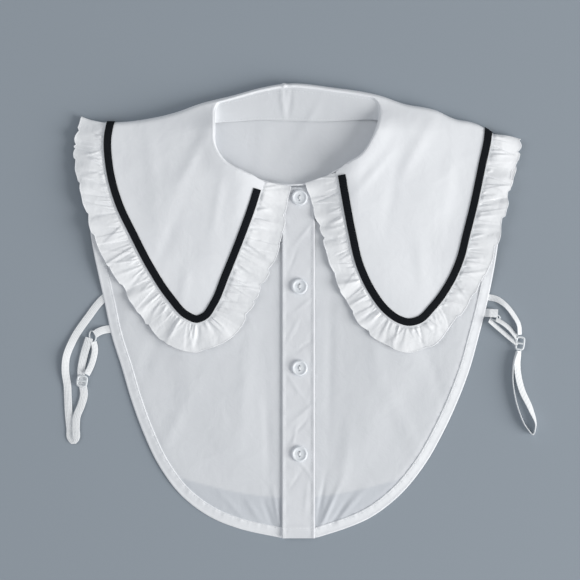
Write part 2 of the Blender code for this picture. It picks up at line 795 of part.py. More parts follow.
def leaf_shares(side):
    """Return the sections of a leaf and its ribbon, close together where the seam turns."""
    def seam_place(share):
        return leaf_point(*LEAF_CURVES[side](share)[:2])

    return spread(seam_place, LEAF_SECTIONS, TURN_WEIGHT_LEAF)


def end_at_centre_back(side, *grids):
    """Set the last section of each grid on its side of the centre back seam."""
    for grid in grids:
        grid[-1, :, 0] = CENTRE_BACK_X + (GAP / 2 if side else -GAP / 2)


def split_pairs(rows):
    """Turn rows of outer and inner points into two grids."""
    pairs = np.array(rows)
    return pairs[:, :, 0], pairs[:, :, 1]


def make_leaf_with_ribbon(side, leaf_name, ribbon_name):
    """One leaf runs from centre front over the shoulder to centre back, with its ribbon."""
    leaf = []
    ribbon = []
    for share in leaf_shares(side):
        neck = leaf_section(side, share)[0]
        here, outward = seam_way(side, share)
        inner_end = here - outward * (RIBBON_INSET + RIBBON_WIDTH + RIBBON_INSET)
        run = inner_end - neck

        def path(t):
            return leaf_point(*(neck + run * t))

        flat = [neck + run * t for t in spread(path, LEAF_COLUMNS, TURN_WEIGHT_ACROSS_LEAF)]
        ribbon_inner = here - outward * (RIBBON_INSET + RIBBON_WIDTH)
        under_ribbon = [ribbon_inner, here - outward * RIBBON_INSET]
        leaf.append([cloth_pair(x, y, -CLOTH, CLOTH) for x, y in flat + under_ribbon + [here]])
        ribbon.append([cloth_pair(x, y, GAP, CLOTH) for x, y in under_ribbon])
    for name, rows, material in ((leaf_name, leaf, POPLIN), (ribbon_name, ribbon, RIBBON)):
        outer, inner = split_pairs(rows)
        end_at_centre_back(side, outer, inner)
        wall_between(name, outer, inner, material)


def make_ruffle(name, side, across=(0.0, 0.5, 1.0), steps_per_gather=4):
    """A gathered ruffle stands out from the seam, with waves that grow towards its edge."""
    length = np.linalg.norm(np.diff(line_of(SEAMS[side], 200), axis=0), axis=1).sum()
    gathers = round(length / GATHER_PITCH)
    outer = []
    inner = []
    for step in range(gathers * steps_per_gather + 1):
        share = step / (gathers * steps_per_gather)
        turns = share * gathers
        drift = GATHER_DRIFT * math.sin(turns * GATHER_SLOW_BEAT + side)
        uneven = 1.0 - GATHER_UNEVEN + GATHER_UNEVEN * math.sin(turns * GATHER_BEAT + drift)
        wave = 0.5 - 0.5 * math.cos(2 * math.pi * turns)
        neck, seam, edge = leaf_section(side, share)
        here, outward = seam_way(side, share)
        start = seam + outward * 2 * GAP
        rise = GATHER_RISE_UNDER if is_back(side, share) else GATHER_RISE
        rows = []
        for reach in across:
            x, y_flat = start + (edge - start) * reach
            grown = WAVE_AT_SEAM + (1.0 - WAVE_AT_SEAM) * reach
            rows.append(cloth_pair(x, y_flat, -CLOTH + rise * uneven * wave * grown, CLOTH))
        outer.append([pair[0] for pair in rows])
        inner.append([pair[1] for pair in rows])
    outer = np.array(outer)
    inner = np.array(inner)
    end_at_centre_back(side, outer, inner)
    return wall_between(name, outer, inner, POPLIN)


def make_strap(name, rows, sections, width):
    """A flat elastic strap follows its bends, folds back on itself and rolls on edge."""
    curve = spline(rows)
    outer = []
    inner = []
    side_before = np.zeros(3)
    for share in spread(curve, sections, TURN_WEIGHT_STRAP):
        x, y, z, roll = curve(share)
        before = np.array((x, y, z)) - curve(max(share - STRIP_STEP, 0.0))[:3]
        after = curve(min(share + STRIP_STEP, 1.0))[:3] - np.array((x, y, z))
        way = (before + after) / np.linalg.norm(before + after)
        if np.dot(before[:2], after[:2]) < 0:
            after = -after
        plan_way = before + after
        side = np.array((-plan_way[1], plan_way[0], 0.0)) / np.linalg.norm(plan_way[:2])
        if np.dot(side, side_before) < 0:
            side = -side
        side_before = side
        face = np.cross(way, side)
        lean = math.radians(roll)
        across = side * math.cos(lean) + face * math.sin(lean)
        face = face * math.cos(lean) - side * math.sin(lean)
        half = width / 2
        lift = max(z, half * abs(math.sin(lean)) + CLOTH / 2 * abs(math.cos(lean)))
        centre = np.array((x, y, lift))
        outer.append([centre + across * reach + face * CLOTH / 2 for reach in (-half, half)])
        inner.append([centre + across * reach - face * CLOTH / 2 for reach in (-half, half)])
    return wall_between(name, np.array(outer), np.array(inner), ELASTIC)


def make_ring(name, x, y, floor, length, width, wire, degrees):
    """An oval ring of round wire lies flat."""
    curve = bpy.data.curves.new(name, "CURVE")
    curve.dimensions = "3D"
    line = curve.splines.new("POLY")
    line.points.add(RING_SIDES - 1)
    turn = math.radians(degrees)
    for number in range(RING_SIDES):
        t = 2 * math.pi * number / RING_SIDES
        along = length / 2 * math.cos(t)
        aside = width / 2 * math.sin(t)
        px = x + along * math.cos(turn) - aside * math.sin(turn)
        py = y + along * math.sin(turn) + aside * math.cos(turn)
        line.points[number].co = (px * MM, py * MM, (floor + wire / 2) * MM, 1.0)
    line.use_cyclic_u = True
    curve.bevel_depth = wire / 2 * MM
    curve.bevel_resolution = 1
    curve.materials.append(FITTING)
    ring = bpy.data.objects.new(name, curve)
    COLLAR.objects.link(ring)
    return ring


def make_slider(name, x, y, floor, height, length, width, degrees):
    """A strap slider is a small rounded plate that grips the strap."""
    work = bmesh.new()
    bmesh.ops.create_cube(work, size=1.0)
    bmesh.ops.scale(work, verts=work.verts, vec=(length * MM, width * MM, height * MM))
    bmesh.ops.bevel(work, geom=work.edges[:], offset=SLIDER_ROUND * MM, segments=2, affect="EDGES")
    slider = add_object(name, work, FITTING)
    slider.location = (x * MM, y * MM, (floor + height / 2) * MM)
    slider.rotation_euler = (0.0, 0.0, math.radians(degrees))
    return slider


# Rings: name, x, y, floor, length, width, wire, direction in degrees
RINGS = (
    ("ring_left", -165.9, -20.3, 0.0, 8.6, 5.0, 1.3, 100),
    ("ring_right", 156.2, -5.2, 0.0, 7.2, 4.2, 1.3, 0),
)

# Sliders: name, x, y, floor, height, length, width, direction in degrees
SLIDERS = (
    ("slider_left", -174.2, -56.0, 1.3, 1.8, 9.4, 8.6, 82),
    ("slider_right", 175.8, -25.8, 0.0, 5.0, 11.2, 7.0, 82),
)

# Straps and tabs: name, rows, sections, width
STRAPS = (
    ("strap_left", STRAP_LEFT, 56, STRAP_WIDTH),
    ("strap_left_return", STRAP_LEFT_RETURN, 8, 5.0),
    ("tab_left", TAB_LEFT, 8, STRAP_WIDTH),
    ("strap_right", STRAP_RIGHT, 16, 5.0),
    ("strap_right_loop", STRAP_RIGHT_LOOP, 40, 5.4),
    ("strap_right_return", STRAP_RIGHT_RETURN, 8, 5.0),
    ("strap_right_lower_return", STRAP_RIGHT_LOWER_RETURN, 8, 5.0),
    ("tab_right", TAB_RIGHT, 8, 6.6),
)


def make_straps():
    """Each side has an elastic strap with a slider, and a short tab that holds its ring."""
    for name, rows, sections, width in STRAPS:
        make_strap(name, rows, sections, width)
    for ring in RINGS:
        make_ring(*ring)
    for slider in SLIDERS:
        make_slider(*slider)


for old in list(bpy.data.objects):
    bpy.data.objects.remove(old, do_unlink=True)
COLLAR = bpy.data.collections.new("detachable_collar")
CUTTERS = bpy.data.collections.new("cutters")
bpy.context.scene.collection.children.link(COLLAR)
bpy.context.scene.collection.children.link(CUTTERS)
POPLIN = make_material("white_cotton_poplin", WHITE, 0.85)
RIBBON = make_material("black_grosgrain", BLACK, 0.7)
BUTTON = make_material("pearl_button", PEARL, 0.3)
ELASTIC = make_material("white_elastic", WHITE, 0.8)
FITTING = make_material("white_moulded_fitting", CLEAR_WHITE, 0.4)

make_back()
make_fronts()
make_hems()
make_placket()
make_buttons()
make_stand()
make_leaf_with_ribbon(0, "leaf_wearer_right", "ribbon_wearer_right")
make_leaf_with_ribbon(1, "leaf_wearer_left", "ribbon_wearer_left")
make_ruffle("ruffle_wearer_right", 0)
make_ruffle("ruffle_wearer_left", 1)
make_straps()
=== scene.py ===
"""The looks of a detachable collar of white cotton poplin, laid flat with its buttons up.

Shapes are worked out in millimetres, in the part's frame: +Y points to the neck, +X to the
right of somebody who looks down on it, and +Z up from the surface. A mesh is in metres.
A fade is a pair of places: what it scales is nothing at the first and whole at the second.
"""
import math

import bmesh
import bpy
import numpy as np
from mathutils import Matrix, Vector


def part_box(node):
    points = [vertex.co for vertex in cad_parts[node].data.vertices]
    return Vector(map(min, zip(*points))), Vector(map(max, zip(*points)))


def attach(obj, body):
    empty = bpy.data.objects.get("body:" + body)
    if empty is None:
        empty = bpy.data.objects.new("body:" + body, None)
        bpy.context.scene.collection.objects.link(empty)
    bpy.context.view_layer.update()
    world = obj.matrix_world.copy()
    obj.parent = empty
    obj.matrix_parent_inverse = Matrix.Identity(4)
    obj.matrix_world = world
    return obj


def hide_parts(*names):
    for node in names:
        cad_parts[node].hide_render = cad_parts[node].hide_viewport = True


MM = 0.001
SIDES = ("wearer_right", "wearer_left")

# Sizes that repeat the part's own
STEP = 1.3
GAP = 0.3
LAP_X = 10.0
HEM_WIDTH = 8.5
HEM_START = 0.004
HEM_STOP = 0.775
PLACKET_WIDTH = 26.5
PLACKET_MIDDLE = -1.3
PLACKET_BOTTOM = -181.6
PLACKET_TOP = 98.6
RIBBON_WIDTH = 6.0
RIBBON_INSET = 1.2
RIBBON_SKIPS = (3, 0)
STRAP_WIDTH = 6.2
BUTTON_DIAMETER = 12.8
BUTTON_HEIGHT = 2.2
BUTTON_RIM = 1.6
BUTTON_DISH = 0.7
THREAD_HOLE = 1.5
THREAD_HOLE_SPACING = 3.4
BUTTON_X = -0.4
BUTTON_YS = (90.4, 19.6, -45.6, -114.2)
BACK_LIFT = 2.6
FOLD_DEPTH = 3.1
FOLD_HALF = 5.3
SHOULDER_DROP = 4.8
LEAF_EASE = 0.4
FRONT_EASE = 0.35
CENTRE_BACK_X = -12.0
SOLID_CLOTH = 1.0

# Real cloth is 0.25 mm; it is drawn a little thicker so that its edges catch the light
CLOTH = 0.45
RIBBON_CLOTH = 0.6
ELASTIC_CLOTH = 1.0

# Shares of a curve over which its direction is taken, and how soon a crease tapers off
HEM_WAY = 0.003
SEAM_WAY = 0.002
STRAP_WAY = 0.004
RIDGE_TAPER = 2.2

# Fronts: loose edges droop, and settle where no back panel lies under them
OPEN_EDGE_FADE = (10.0, 45.0)
EDGE_DROOP = 1.3
EDGE_DROOP_WIDTH = 13.0
SINGLE_SETTLE = 0.7
SINGLE_SETTLE_WIDTH = 14.0
SINGLE_COLOUR_WIDTH = 2.4
CREASES_FROM_EDGE = (1.0, 10.0)
SOFT_FOLDS_FROM_EDGE = (30.0, 55.0)

# The back panel sags between the sides of the neck: its depth, then middle and spread in x and y
BACK_SAG = 1.6
BACK_SAG_MIDDLE = (-6.0, 127.0)
BACK_SAG_SPREAD = (42.0, 19.0)
BACK_BELOW_SOLID = 0.2

# Leaves: the roll over the neck edge, the slope down from there, and the droop past the fronts
NECK_MIDDLE_X = -2.0
ROLL_AT_FRONT = 1.0
ROLL_AT_SIDES = 2.2
ROLL_AT_BACK = 0.4
ROLL_SPREAD = 11.0
ROLL_TO_SIDES = (8.0, 44.0)
ROLL_TO_BACK = (144.0, 164.0)
SLOPE_FROM_NECK = 7.0
SLOPE_SPREAD = (-12.0, 92.0)
SLOPE_TO_SIDES = (14.0, 50.0)
SLOPE_TO_BACK = (142.0, 170.0)
OFF_BODY_DROOP = 0.72
OFF_BODY_FADE = (1.0, 24.0)
UNDER_DIP_FADE = (9.0, 21.0)
CREASES_ABOVE = (2.5, 5.0)
CENTRE_BACK_HALF_GAP = 0.03

# The leaf's neck edge curls down over the stand; the mesh is finer there and where it turns
NECK_CURL = 2.0
STEEPEST_CURL = 0.98
CURL_SHARE = 0.03
CURL_COLUMNS = 8
TURN_EFFORT = 14.0

# Stand: it bows a little, its upper edge hides under the curl, and a rolled rim closes it
STAND_BOW = 0.5
STAND_SHIFT_FADE = (128.0, 150.0)
STAND_PAST_FOLD = 0.2
STAND_UNDER_CURL = 0.8
STAND_SEAM = (0.31, 0.72)
NECK_ROLL_RADIUS = 0.7
NECK_ROLL_DROP = 0.2
NECK_ROLL_FRONT_RISE = 0.9

# Turned hems: places from the edge, and how the hem swells there
HEM_REACHES = (0.0, 0.15, 0.4, 0.8, 1.3, 2.0, 3.2, 4.5, 5.6, 6.3, 6.8, 7.1, 7.4, 7.8, 8.2, 8.4, 8.5)
HEM_SWELL = (
    (0.0, -0.35), (0.15, 0.0), (0.4, 0.28), (0.8, 0.45), (1.3, 0.42), (2.0, 0.25), (4.5, 0.3),
    (6.3, 0.28), (7.1, 0.05), (7.8, 0.22), (8.2, 0.0), (8.5, -0.8),
)
HEM_SWELL_SHARE = 0.65
HEM_LIFT = 0.05
HEM_UNDER_PLACKET = 2.5
HEM_END_DROP = 0.1
HEM_STITCH_INSET = 1.3
HEM_THREAD = 0.2

# Welts across the placket: height, distance from its folded edge or its bottom, width
PLACKET_FOLD = (0.45, 1.0, 1.3)
PLACKET_ROUNDING = (-0.4, 0.0, 0.4)
PLACKET_HEM = (0.35, 9.0, 1.4)
PLACKET_PUCKER = (0.12, 3.4, 2.0)
PLACKET_PUCKER_PITCH = 17.0
PLACKET_SETTLE = 0.6
PLACKET_SETTLE_FADE = (-182.0, -150.0)
PLACKET_CREASE_FADE = (1.0, 4.0)
PLACKET_STITCH_INSET = 2.6
PLACKET_HEM_STITCH = 8.0

# The pucker along the hem's stitches: height, distance from the edge and width, and its waves,
# each with its turn for a millimetre and its start
HEM_PUCKER = (0.1, 6.9, 1.8)
PUCKER_WAVES = ((0.9, 0.0), (0.53, 1.0), (1.7, 2.0))

# Stitches: how far apart, how long and how thick, and how high they lie on the cloth
STITCH_PITCH = 2.5
STITCH_LENGTH = 1.9
THREAD = 0.28
STITCH_LIFTS = {"hem": 0.12, "placket": 0.05, "stand": 0.1, "leaf": 0.06}

# Ribbon: it lies this far above the leaf, and is this much thicker in its middle
RIBBON_LIFT = 0.12
RIBBON_CROWN = 0.15

# Folds of the ruffle: they start at the seam and run out, at random within these ranges
GATHER_PITCH = 7.3
FOLDS_PER_GATHER = 3.2
GATHER_SEED = 11
WAVE_SEED = 51
LOBE_SEED = 91
FOLD_RELIEF = 0.88
FOLD_JITTER = 0.42
FOLD_LEAN = 4.2
FOLD_REACHES = (0.25, 1.25)
FOLD_REACH_POWER = 1.3
FOLD_WIDTHS = (0.5, 1.3)
FOLD_WIDENING = (0.75, 1.5)
FOLD_HEIGHTS = (0.4, 1.15)
FOLD_SIGNS = (1.0, 1.0, -0.8)
FOLD_SHARP_SIDES = (-1.0, 0.0, 0.0, 1.0)
FOLD_SHARPNESS = 0.6
FOLD_TAIL = 4.6
FOLD_START = 0.05
FOLD_NEIGHBOURHOOD = 20.0

# The ruffle's free edge: slow waves, and lobes of random length and depth that overlap
WAVE_LENGTHS = (33.0, 21.0, 13.5)
WAVE_DRIFT = 1.3
WAVE_IN = 0.7
WAVE_UP = 1.3
FIRST_LOBE = 6.0
LOBE_LENGTHS = (9.0, 24.0)
LOBE_DEPTHS = (0.5, 2.2)
LOBE_STEP = 2.0
NOTCH_STEP = 1.5
EDGE_ROLL = 0.42

# How the ruffle lies: puffed by its seam, settled towards its edge, flatter under the back
RUFFLE_SECTION = 0.38
TUCK_UNDER_LEAF = 1.6
TUCKED_SHARE = 0.07
NECK_END_STRETCH = 3.0
NECK_END_SECTIONS = (10, 60)
RUFFLE_PUFF = 0.45
RUFFLE_SETTLE = 0.75
RUFFLE_SETTLE_OVER = (0.1, 0.5)
RUFFLE_SETTLE_FADE = (0.3, 1.0)
RELIEF_UNDER = 0.35
PUFF_UNDER = 0.2
OVER_FADE = (-0.012, 0.004)
LOWEST_LIFT = -2.3
FLOOR_GAP = 0.12

# Notches of the free edges, where one lobe lies over the next: leaf, x, y, depth, fading length
EDGE_NOTCHES = (
    (0, -119, -9, -2.0, 18),
    (0, -178.6, 130.4, 1.8, 9),
    (1, 168.8, 103.2, 2.2, 20),
    (1, 176, 124.8, 2.4, 8),
)

# Outline of what the leaves fold over, which is also the top of the collar: x, y
FOLD_LINE = (
    (-178, 156.5), (-165, 152.5), (-154, 151), (-128, 152.5), (-98, 159), (-80, 165.5),
    (-54, 172), (-30, 178.5), (-12, 181.6), (26, 178.5), (64, 172), (83, 165.5),
    (106, 161), (125, 153), (136, 151), (147, 146.5), (153, 142.5), (171, 139.5), (180, 136),
)

# Front, one row for each section from hem to shoulder: side_x, side_y, centre_x, centre_y
FRONT_LEFT_OF_PHOTO = (
    (-16, -181.4, 10, -181.4),
    (-50.5, -173.5, 10, -172),
    (-67.5, -167, 10, -165),
    (-94.5, -148, 10, -146),
    (-113.5, -122.5, 10, -121),
    (-125.5, -97, 10, -96),
    (-135, -71, 10, -70),
    (-142.5, -45.5, 10, -44),
    (-150.5, -20, 10, -16),
    (-156, 5.5, 10, 12),
    (-161.5, 31, 10, 40),
    (-166.5, 57, 10, 70),
    (-169, 80, 10, 96),
    (-169.5, 95, -9, 98.5),
    (-167.5, 108, -32, 101.5),
    (-163, 122, -55, 110),
    (-157, 133, -68, 126),
    (-150, 142, -71, 145),
    (-144, 148.5, -70.5, 164),
)
FRONT_RIGHT_OF_PHOTO = (
    (13, -181.4, 10.3, -181.4),
    (37.5, -173.5, 10.3, -172),
    (53, -167, 10.3, -165),
    (79, -148, 10.3, -146),
    (100, -122.5, 10.3, -121),
    (114.5, -97, 10.3, -96),
    (126.5, -71, 10.3, -70),
    (136, -45.5, 10.3, -44),
    (143, -20, 10.3, -16),
    (149.5, 5.5, 10.3, 12),
    (154.5, 31, 10.3, 40),
    (158.5, 57, 10.3, 70),
    (161, 80, 10.3, 96),
    (160.5, 95, 18, 100.5),
    (158.5, 108, 36, 110),
    (155, 120, 53, 121.5),
    (151.5, 130, 63, 138),
    (146, 138, 66, 150),
    (139, 146, 66, 164),
)

# Back, one row for each section: left_x, right_x, y, bow of the row towards the hem
BACK = (
    (-100, 87, -131, 17),
    (-112, 98, -113, 13),
    (-122, 111, -90, 7),
    (-131, 122, -62, 3),
    (-142, 134, -22, 0),
    (-154, 147, 28, 0),
    (-160, 152, 62, 0),
    (-162, 154, 95, 0),
    (-156, 149, 122, 0),
    (-140, 134, 155, 0),
)

# Stand, one row for each section from one end round the neck to the other:
# upper_x, upper_y, lower_x, lower_y, layers under its lower edge
STAND = (
    (-10, 100.5, -10, 97.3, 2),
    (-27, 103, -28.5, 99, 2),
    (-47, 110.5, -49, 106.5, 1),
    (-59, 117.5, -62, 115, 1),
    (-67.5, 132, -71, 131, 1),
    (-68, 144, -71.4, 142, 1),
    (-68, 152, -70.6, 147, 1),
    (-67.6, 158.5, -67.6, 149.8, 0.8),
    (-64.5, 164, -63, 150.5, 0.3),
    (-54, 168.6, -54, 151, 0),
    (-30, 175.2, -30, 152.5, 0),
    (-12, 178.6, -12, 152, 0),
    (25, 175.2, 22, 151.4, 0),
    (48, 171.4, 45, 152.4, 0),
    (58.5, 167.5, 57, 152.8, 0.3),
    (62.8, 161.5, 62.6, 151.8, 0.8),
    (63.3, 154, 65.8, 148.6, 1),
    (61.8, 146.5, 65, 143, 1),
    (57.5, 136.5, 61, 134.5, 1),
    (49.5, 124, 52.5, 121, 1),
    (38.5, 116.5, 41, 113, 1),
    (26.5, 110.5, 28.5, 106.5, 2),
    (14.5, 102.7, 16, 98.8, 2),
    (4.6, 101, 4.6, 97.3, 2),
)
STAND_CENTRE_BACK = 11

# Leaves on the unfolded plane, one row for each section from centre front round the
# point and the shoulder to centre back: seam_x, seam_y, edge_x, edge_y, share of neck edge
LEAF_LEFT_OF_PHOTO = (
    (-29, 97.5, -9, 94.5, 0.19),
    (-34, 81, -11.5, 75.5, 0.21),
    (-44, 53.5, -17.5, 45.5, 0.245),
    (-55.5, 25, -31, 16, 0.28),
    (-65.5, 1.5, -43, -6.5, 0.31),
    (-73, -9, -55, -24, 0.335),
    (-82.5, -12.8, -81, -34.8, 0.355),
    (-92.5, -9, -102.5, -30, 0.375),
    (-107, 6.5, -124, -9, 0.41),
    (-123, 31, -144, 20, 0.45),
    (-136.5, 57, -161.5, 49, 0.49),
    (-148.5, 82.5, -172.5, 83, 0.53),
    (-156.5, 114.5, -180.5, 120.5, 0.565),
    (-157.5, 137, -179, 139, 0.59),
    (-155, 151.2, -174.5, 156, 0.62),
    (-153.5, 173.5, -174, 178, 0.65),
    (-142.5, 201.5, -162, 209.5, 0.70),
    (-116, 233, -131, 250.5, 0.78),
    (-76, 261.5, -83, 284, 0.88),
    (-12, 292, -12, 315.5, 1.0),
)
LEAF_RIGHT_OF_PHOTO = (
    (29, 105.5, 5, 97, 0.21),
    (32.5, 85, 9.5, 83, 0.225),
    (37, 61, 17, 58.5, 0.245),
    (44.5, 31, 27, 27, 0.27),
    (54.5, 10.5, 38.5, 2.5, 0.29),
    (66.5, -5, 53, -18.5, 0.315),
    (77, -12.5, 69, -29.5, 0.335),
    (86.5, -15.2, 87, -35.2, 0.35),
    (97, -12.8, 105, -29.5, 0.365),
    (109, -1.5, 125, -9.5, 0.39),
    (122.5, 17.5, 139, 12, 0.42),
    (132, 39, 153, 37.5, 0.45),
    (136.5, 57, 159, 57, 0.48),
    (142.5, 81, 165, 81, 0.51),
    (149.5, 114.5, 171, 111, 0.545),
    (153.5, 133.5, 177, 129, 0.57),
    (154.5, 143, 175, 138, 0.59),
    (152.5, 164, 172, 169, 0.62),
    (142, 194, 161, 203, 0.67),
    (116, 227, 130, 244, 0.75),
    (73.5, 256.5, 81, 279, 0.85),
    (-12, 292, -12, 315.5, 1.0),
)
FOLD_ROWS = (14, 16)

# Elastic straps, one row for each bend: x, y, height of the middle, roll in degrees
STRAP_LEFT = (
    (-154.2, 12.4, 0.5, 0),
    (-157.4, 9.8, 0.5, 0),
    (-169.6, -5.3, 0.5, -4),
    (-181, -22.4, 0.9, -8),
    (-187.2, -38.7, 1.6, -22),
    (-187.6, -48, 1.3, -16),
    (-186, -60, 0.6, -4),
    (-185.6, -70, 0.5, 0),
    (-185, -82, 0.5, 0),
    (-183.8, -94, 0.5, 0),
    (-183, -101.8, 0.6, 0),
    (-181.2, -103.6, 1.1, 0),
    (-179.5, -101.8, 1.7, 0),
    (-179.2, -94, 1.8, 0),
    (-178.4, -84, 1.7, 0),
    (-175.2, -76, 1.2, 0),
    (-172.8, -67, 0.5, 5),
    (-174.4, -56, 0.5, 0),
    (-175, -50, 0.5, 6),
    (-173.6, -39, 0.5, 8),
    (-171.6, -31, 1.2, 0),
    (-169.6, -25, 2.1, 0),
    (-168.4, -21.4, 2.2, 0),
)
STRAP_LEFT_RETURN = (
    (-170.4, -50.8, 2.6, 20),
    (-168, -46, 1.6, 12),
    (-165.2, -38, 1.2, 14),
    (-164, -30, 1.4, 16),
    (-165, -24.6, 1.8, 20),
)
TAB_LEFT = (
    (-149.4, -14.2, 0.5, 0),
    (-155, -14.8, 0.5, 0),
    (-160.4, -16.4, 1.5, 0),
    (-164.2, -18.8, 2.1, 0),
)
STRAP_RIGHT = (
    (146.4, 11.4, 0.5, 0),
    (151.4, 10.9, 0.5, 0),
    (157, 9.6, 1.2, -16),
    (162.8, 6, 2.2, -36),
    (170.5, -3, 2.4, -42),
    (175, -11.5, 2.4, -46),
    (175.6, -19, 2.4, -48),
)
STRAP_RIGHT_LOOP = (
    (174.9, -31.9, 2.4, -44),
    (173.8, -44, 2.0, -26),
    (177, -62, 1.9, -24),
    (184.6, -79, 2.3, -44),
    (188.4, -92, 2.9, -80),
    (186.3, -98.6, 3, -90),
    (181, -93, 3, -90),
    (175, -80, 3, -90),
    (171.4, -66, 3, -90),
    (169.9, -52, 3, -88),
    (170.3, -45, 2.9, -84),
    (171.6, -38, 2.8, -80),
    (173.4, -32.4, 2.6, -76),
)
STRAP_RIGHT_RETURN = (
    (156.6, -6.6, 4.1, -50),
    (161.5, -9.4, 3.4, -50),
    (167.6, -14.2, 2.5, -48),
    (171, -18.2, 2.5, -46),
    (173.8, -21.8, 2.6, -44),
)
STRAP_RIGHT_LOWER_RETURN = (
    (151, -7.4, 3.9, -50),
    (156.5, -12.2, 2.8, -48),
    (163.6, -18.2, 2.5, -46),
    (171.1, -24.3, 2.5, -44),
    (174.2, -26.6, 2.6, -44),
)
TAB_RIGHT = (
    (145.6, -1.2, 0.5, 0),
    (148.8, -1.3, 0.5, 0),
    (151, -1.5, 2.1, 0),
    (154, -1.7, 2.3, 0),
    (158.2, -2, 2.3, 0),
)

# Straps and tabs: name, rows, sections, width, the solid that it stands for
STRAPS = (
    ("left_elastic", STRAP_LEFT, 220, STRAP_WIDTH, "strap_left"),
    ("left_elastic_return", STRAP_LEFT_RETURN, 40, 5.0, "strap_left_return"),
    ("left_tab", TAB_LEFT, 30, STRAP_WIDTH, "tab_left"),
    ("right_elastic", STRAP_RIGHT, 60, 5.0, "strap_right"),
    ("right_elastic_loop", STRAP_RIGHT_LOOP, 160, 5.4, "strap_right_loop"),
    ("right_elastic_return", STRAP_RIGHT_RETURN, 40, 5.0, "strap_right_return"),
    ("right_elastic_lower_return", STRAP_RIGHT_LOWER_RETURN, 40, 5.0, "strap_right_lower_return"),
    ("right_tab", TAB_RIGHT, 30, 6.6, "tab_right"),
)
STRAP_EDGE_THINNING = 0.28

# Rings and sliders: solid, x, y, z, length, width, direction, squareness, radius of its rod
FITTINGS = (
    ("ring_left", -165.9, -20.3, 0.65, 8.6, 5.0, 100, 1.0, 0.65),
    ("ring_right", 156.2, -5.2, 0.65, 7.2, 4.2, 0, 1.0, 0.65),
    ("slider_left", -174.2, -56.0, 2.2, 8.0, 7.4, 82, 0.5, 0.85),
    ("slider_right", 175.8, -25.8, 3.0, 9.8, 6.2, 82, 0.5, 0.85),
)
SLIDER_BAR_RADIUS = 0.75
SLIDER_BAR_LIFT = 0.2

# Buttons: the outer profile as shares of radius and height, then the step down to the dish in
# millimetres from the rim and from the top; strands of thread lie side by side in the dish
BUTTON_PROFILE = (
    (0.0, 0.0), (0.6, 0.0), (0.82, 0.06), (0.93, 0.2), (0.985, 0.38), (1.0, 0.55),
    (0.985, 0.74), (0.94, 0.9), (0.88, 0.98), (0.82, 1.0), (0.77, 0.97),
)
BUTTON_STEP = ((0.15, 0.25), (0.6, 0.55), (1.3, BUTTON_DISH))
BUTTON_SUNK = 0.4
BUTTON_SHARP = 40.0
STRANDS = (-0.42, 0.0, 0.42)
STRAND_RADIUS = 0.24
STRAND_LIFT = 0.45
STRAND_PLUNGE = 1.6
MIDDLE_STRAND_LIFT = 0.15

# Studio, in metres: each light has a name, place, size, power and colour
LIGHTS = (
    ("window_light", (3.2, -1.2, 1.5), 2.6, 143.0, "#FFFEFC"),
    ("fill_light", (-2.4, 1.0, 2.6), 2.8, 27.0, "#F7F9FC"),
)
SKY_COLOUR = "#E6EAEE"
SKY_STRENGTH = 0.38
FLOOR_HALF_WIDTH = 4.0
FLOOR_Z = -0.0002

# The camera looks straight down on a square field: middle, side and lens in millimetres
CAMERA_X = -8.0
CAMERA_Y = 16.8
FIELD = 464.0
CAMERA_LENS = 180.0
CAMERA_SENSOR = 36.0

# Pitches at which the weaves are drawn; a wave texture turns by 20 for each unit of its scale
WEAVE_PITCH = 0.9
GROSGRAIN_PITCH = 1.3
ELASTIC_RIB_PITCH = 1.2
ELASTIC_ZIGZAG_PITCH = 1.6
WAVE_TEXTURE_TURN = 20.0

# Places of a mix node's colour sockets, whose names aren't unique: share, low, high, result
MIX_SHARE = 0
MIX_LOW = 6
MIX_HIGH = 7
MIX_RESULT = 2

# Soft folds of the fronts and leaves: x, y, length, width, height, direction in degrees
SOFT_FOLDS = (
    (-96, -40, 150, 24, 1.3, 78),
    (-56, -70, 190, 22, 1.0, 92),
    (58, -70, 170, 22, 1.1, 86),
    (98, -40, 150, 24, 1.4, 104),
    (-104, 90, 90, 20, 1.2, 74),
    (-70, 50, 110, 22, 1.0, 70),
    (104, 90, 100, 20, 1.5, 66),
    (62, 50, 110, 22, 1.2, 112),
)

# Small creases of the fronts, in the same columns
FRONT_CREASES = (
    (23, -158, 40, 2.0, 1.0, 66),
    (30, -164, 30, 2.2, -0.8, 56),
    (17, -150, 34, 1.7, -0.7, 80),
    (40, -155, 34, 2.6, 0.6, 48),
    (-19, -157, 34, 1.7, 0.9, 99),
    (-25, -163, 26, 2.0, -0.7, 110),
    (-37, -160, 26, 2.2, 0.5, 124),
    (-54, -156, 30, 2.4, 0.5, 134),
    (-26, -96, 70, 3.0, -0.5, 92),
    (24, -40, 110, 3.4, -0.5, 89),
    (36, -118, 60, 5.0, 0.5, 82),
    (-44, -60, 90, 6.0, 0.5, 84),
    (-100, -90, 70, 5.0, 0.5, 62),
    (-118, -30, 60, 5.0, -0.5, 70),
    (84, -92, 70, 6.0, 0.5, 116),
    (108, -52, 60, 5.0, -0.5, 108),
    (60, -30, 60, 6.0, 0.4, 96),
    (124, 6, 40, 4.0, 0.5, 96),
    (-136, 6, 40, 4.0, 0.5, 80),
)

# Small creases of the leaves, in the same columns
LEAF_CREASES = (
    (-13, 178, 16, 1.4, 0.9, 92),
    (-9.5, 175, 14, 1.6, -0.6, 84),
    (-86, 120, 60, 5.0, 0.7, 62),
    (-104, 60, 60, 5.0, -0.5, 66),
    (-118, 118, 50, 6.0, 0.6, 96),
    (-66, 84, 50, 4.0, 0.5, 80),
    (-92, 20, 36, 4.0, 0.5, 80),
    (92, 128, 60, 5.0, 0.8, 60),
    (74, 96, 60, 5.0, -0.6, 78),
    (118, 100, 60, 6.0, 0.6, 82),
    (96, 40, 50, 5.0, 0.5, 96),
    (60, 112, 44, 3.5, 0.7, 50),
)

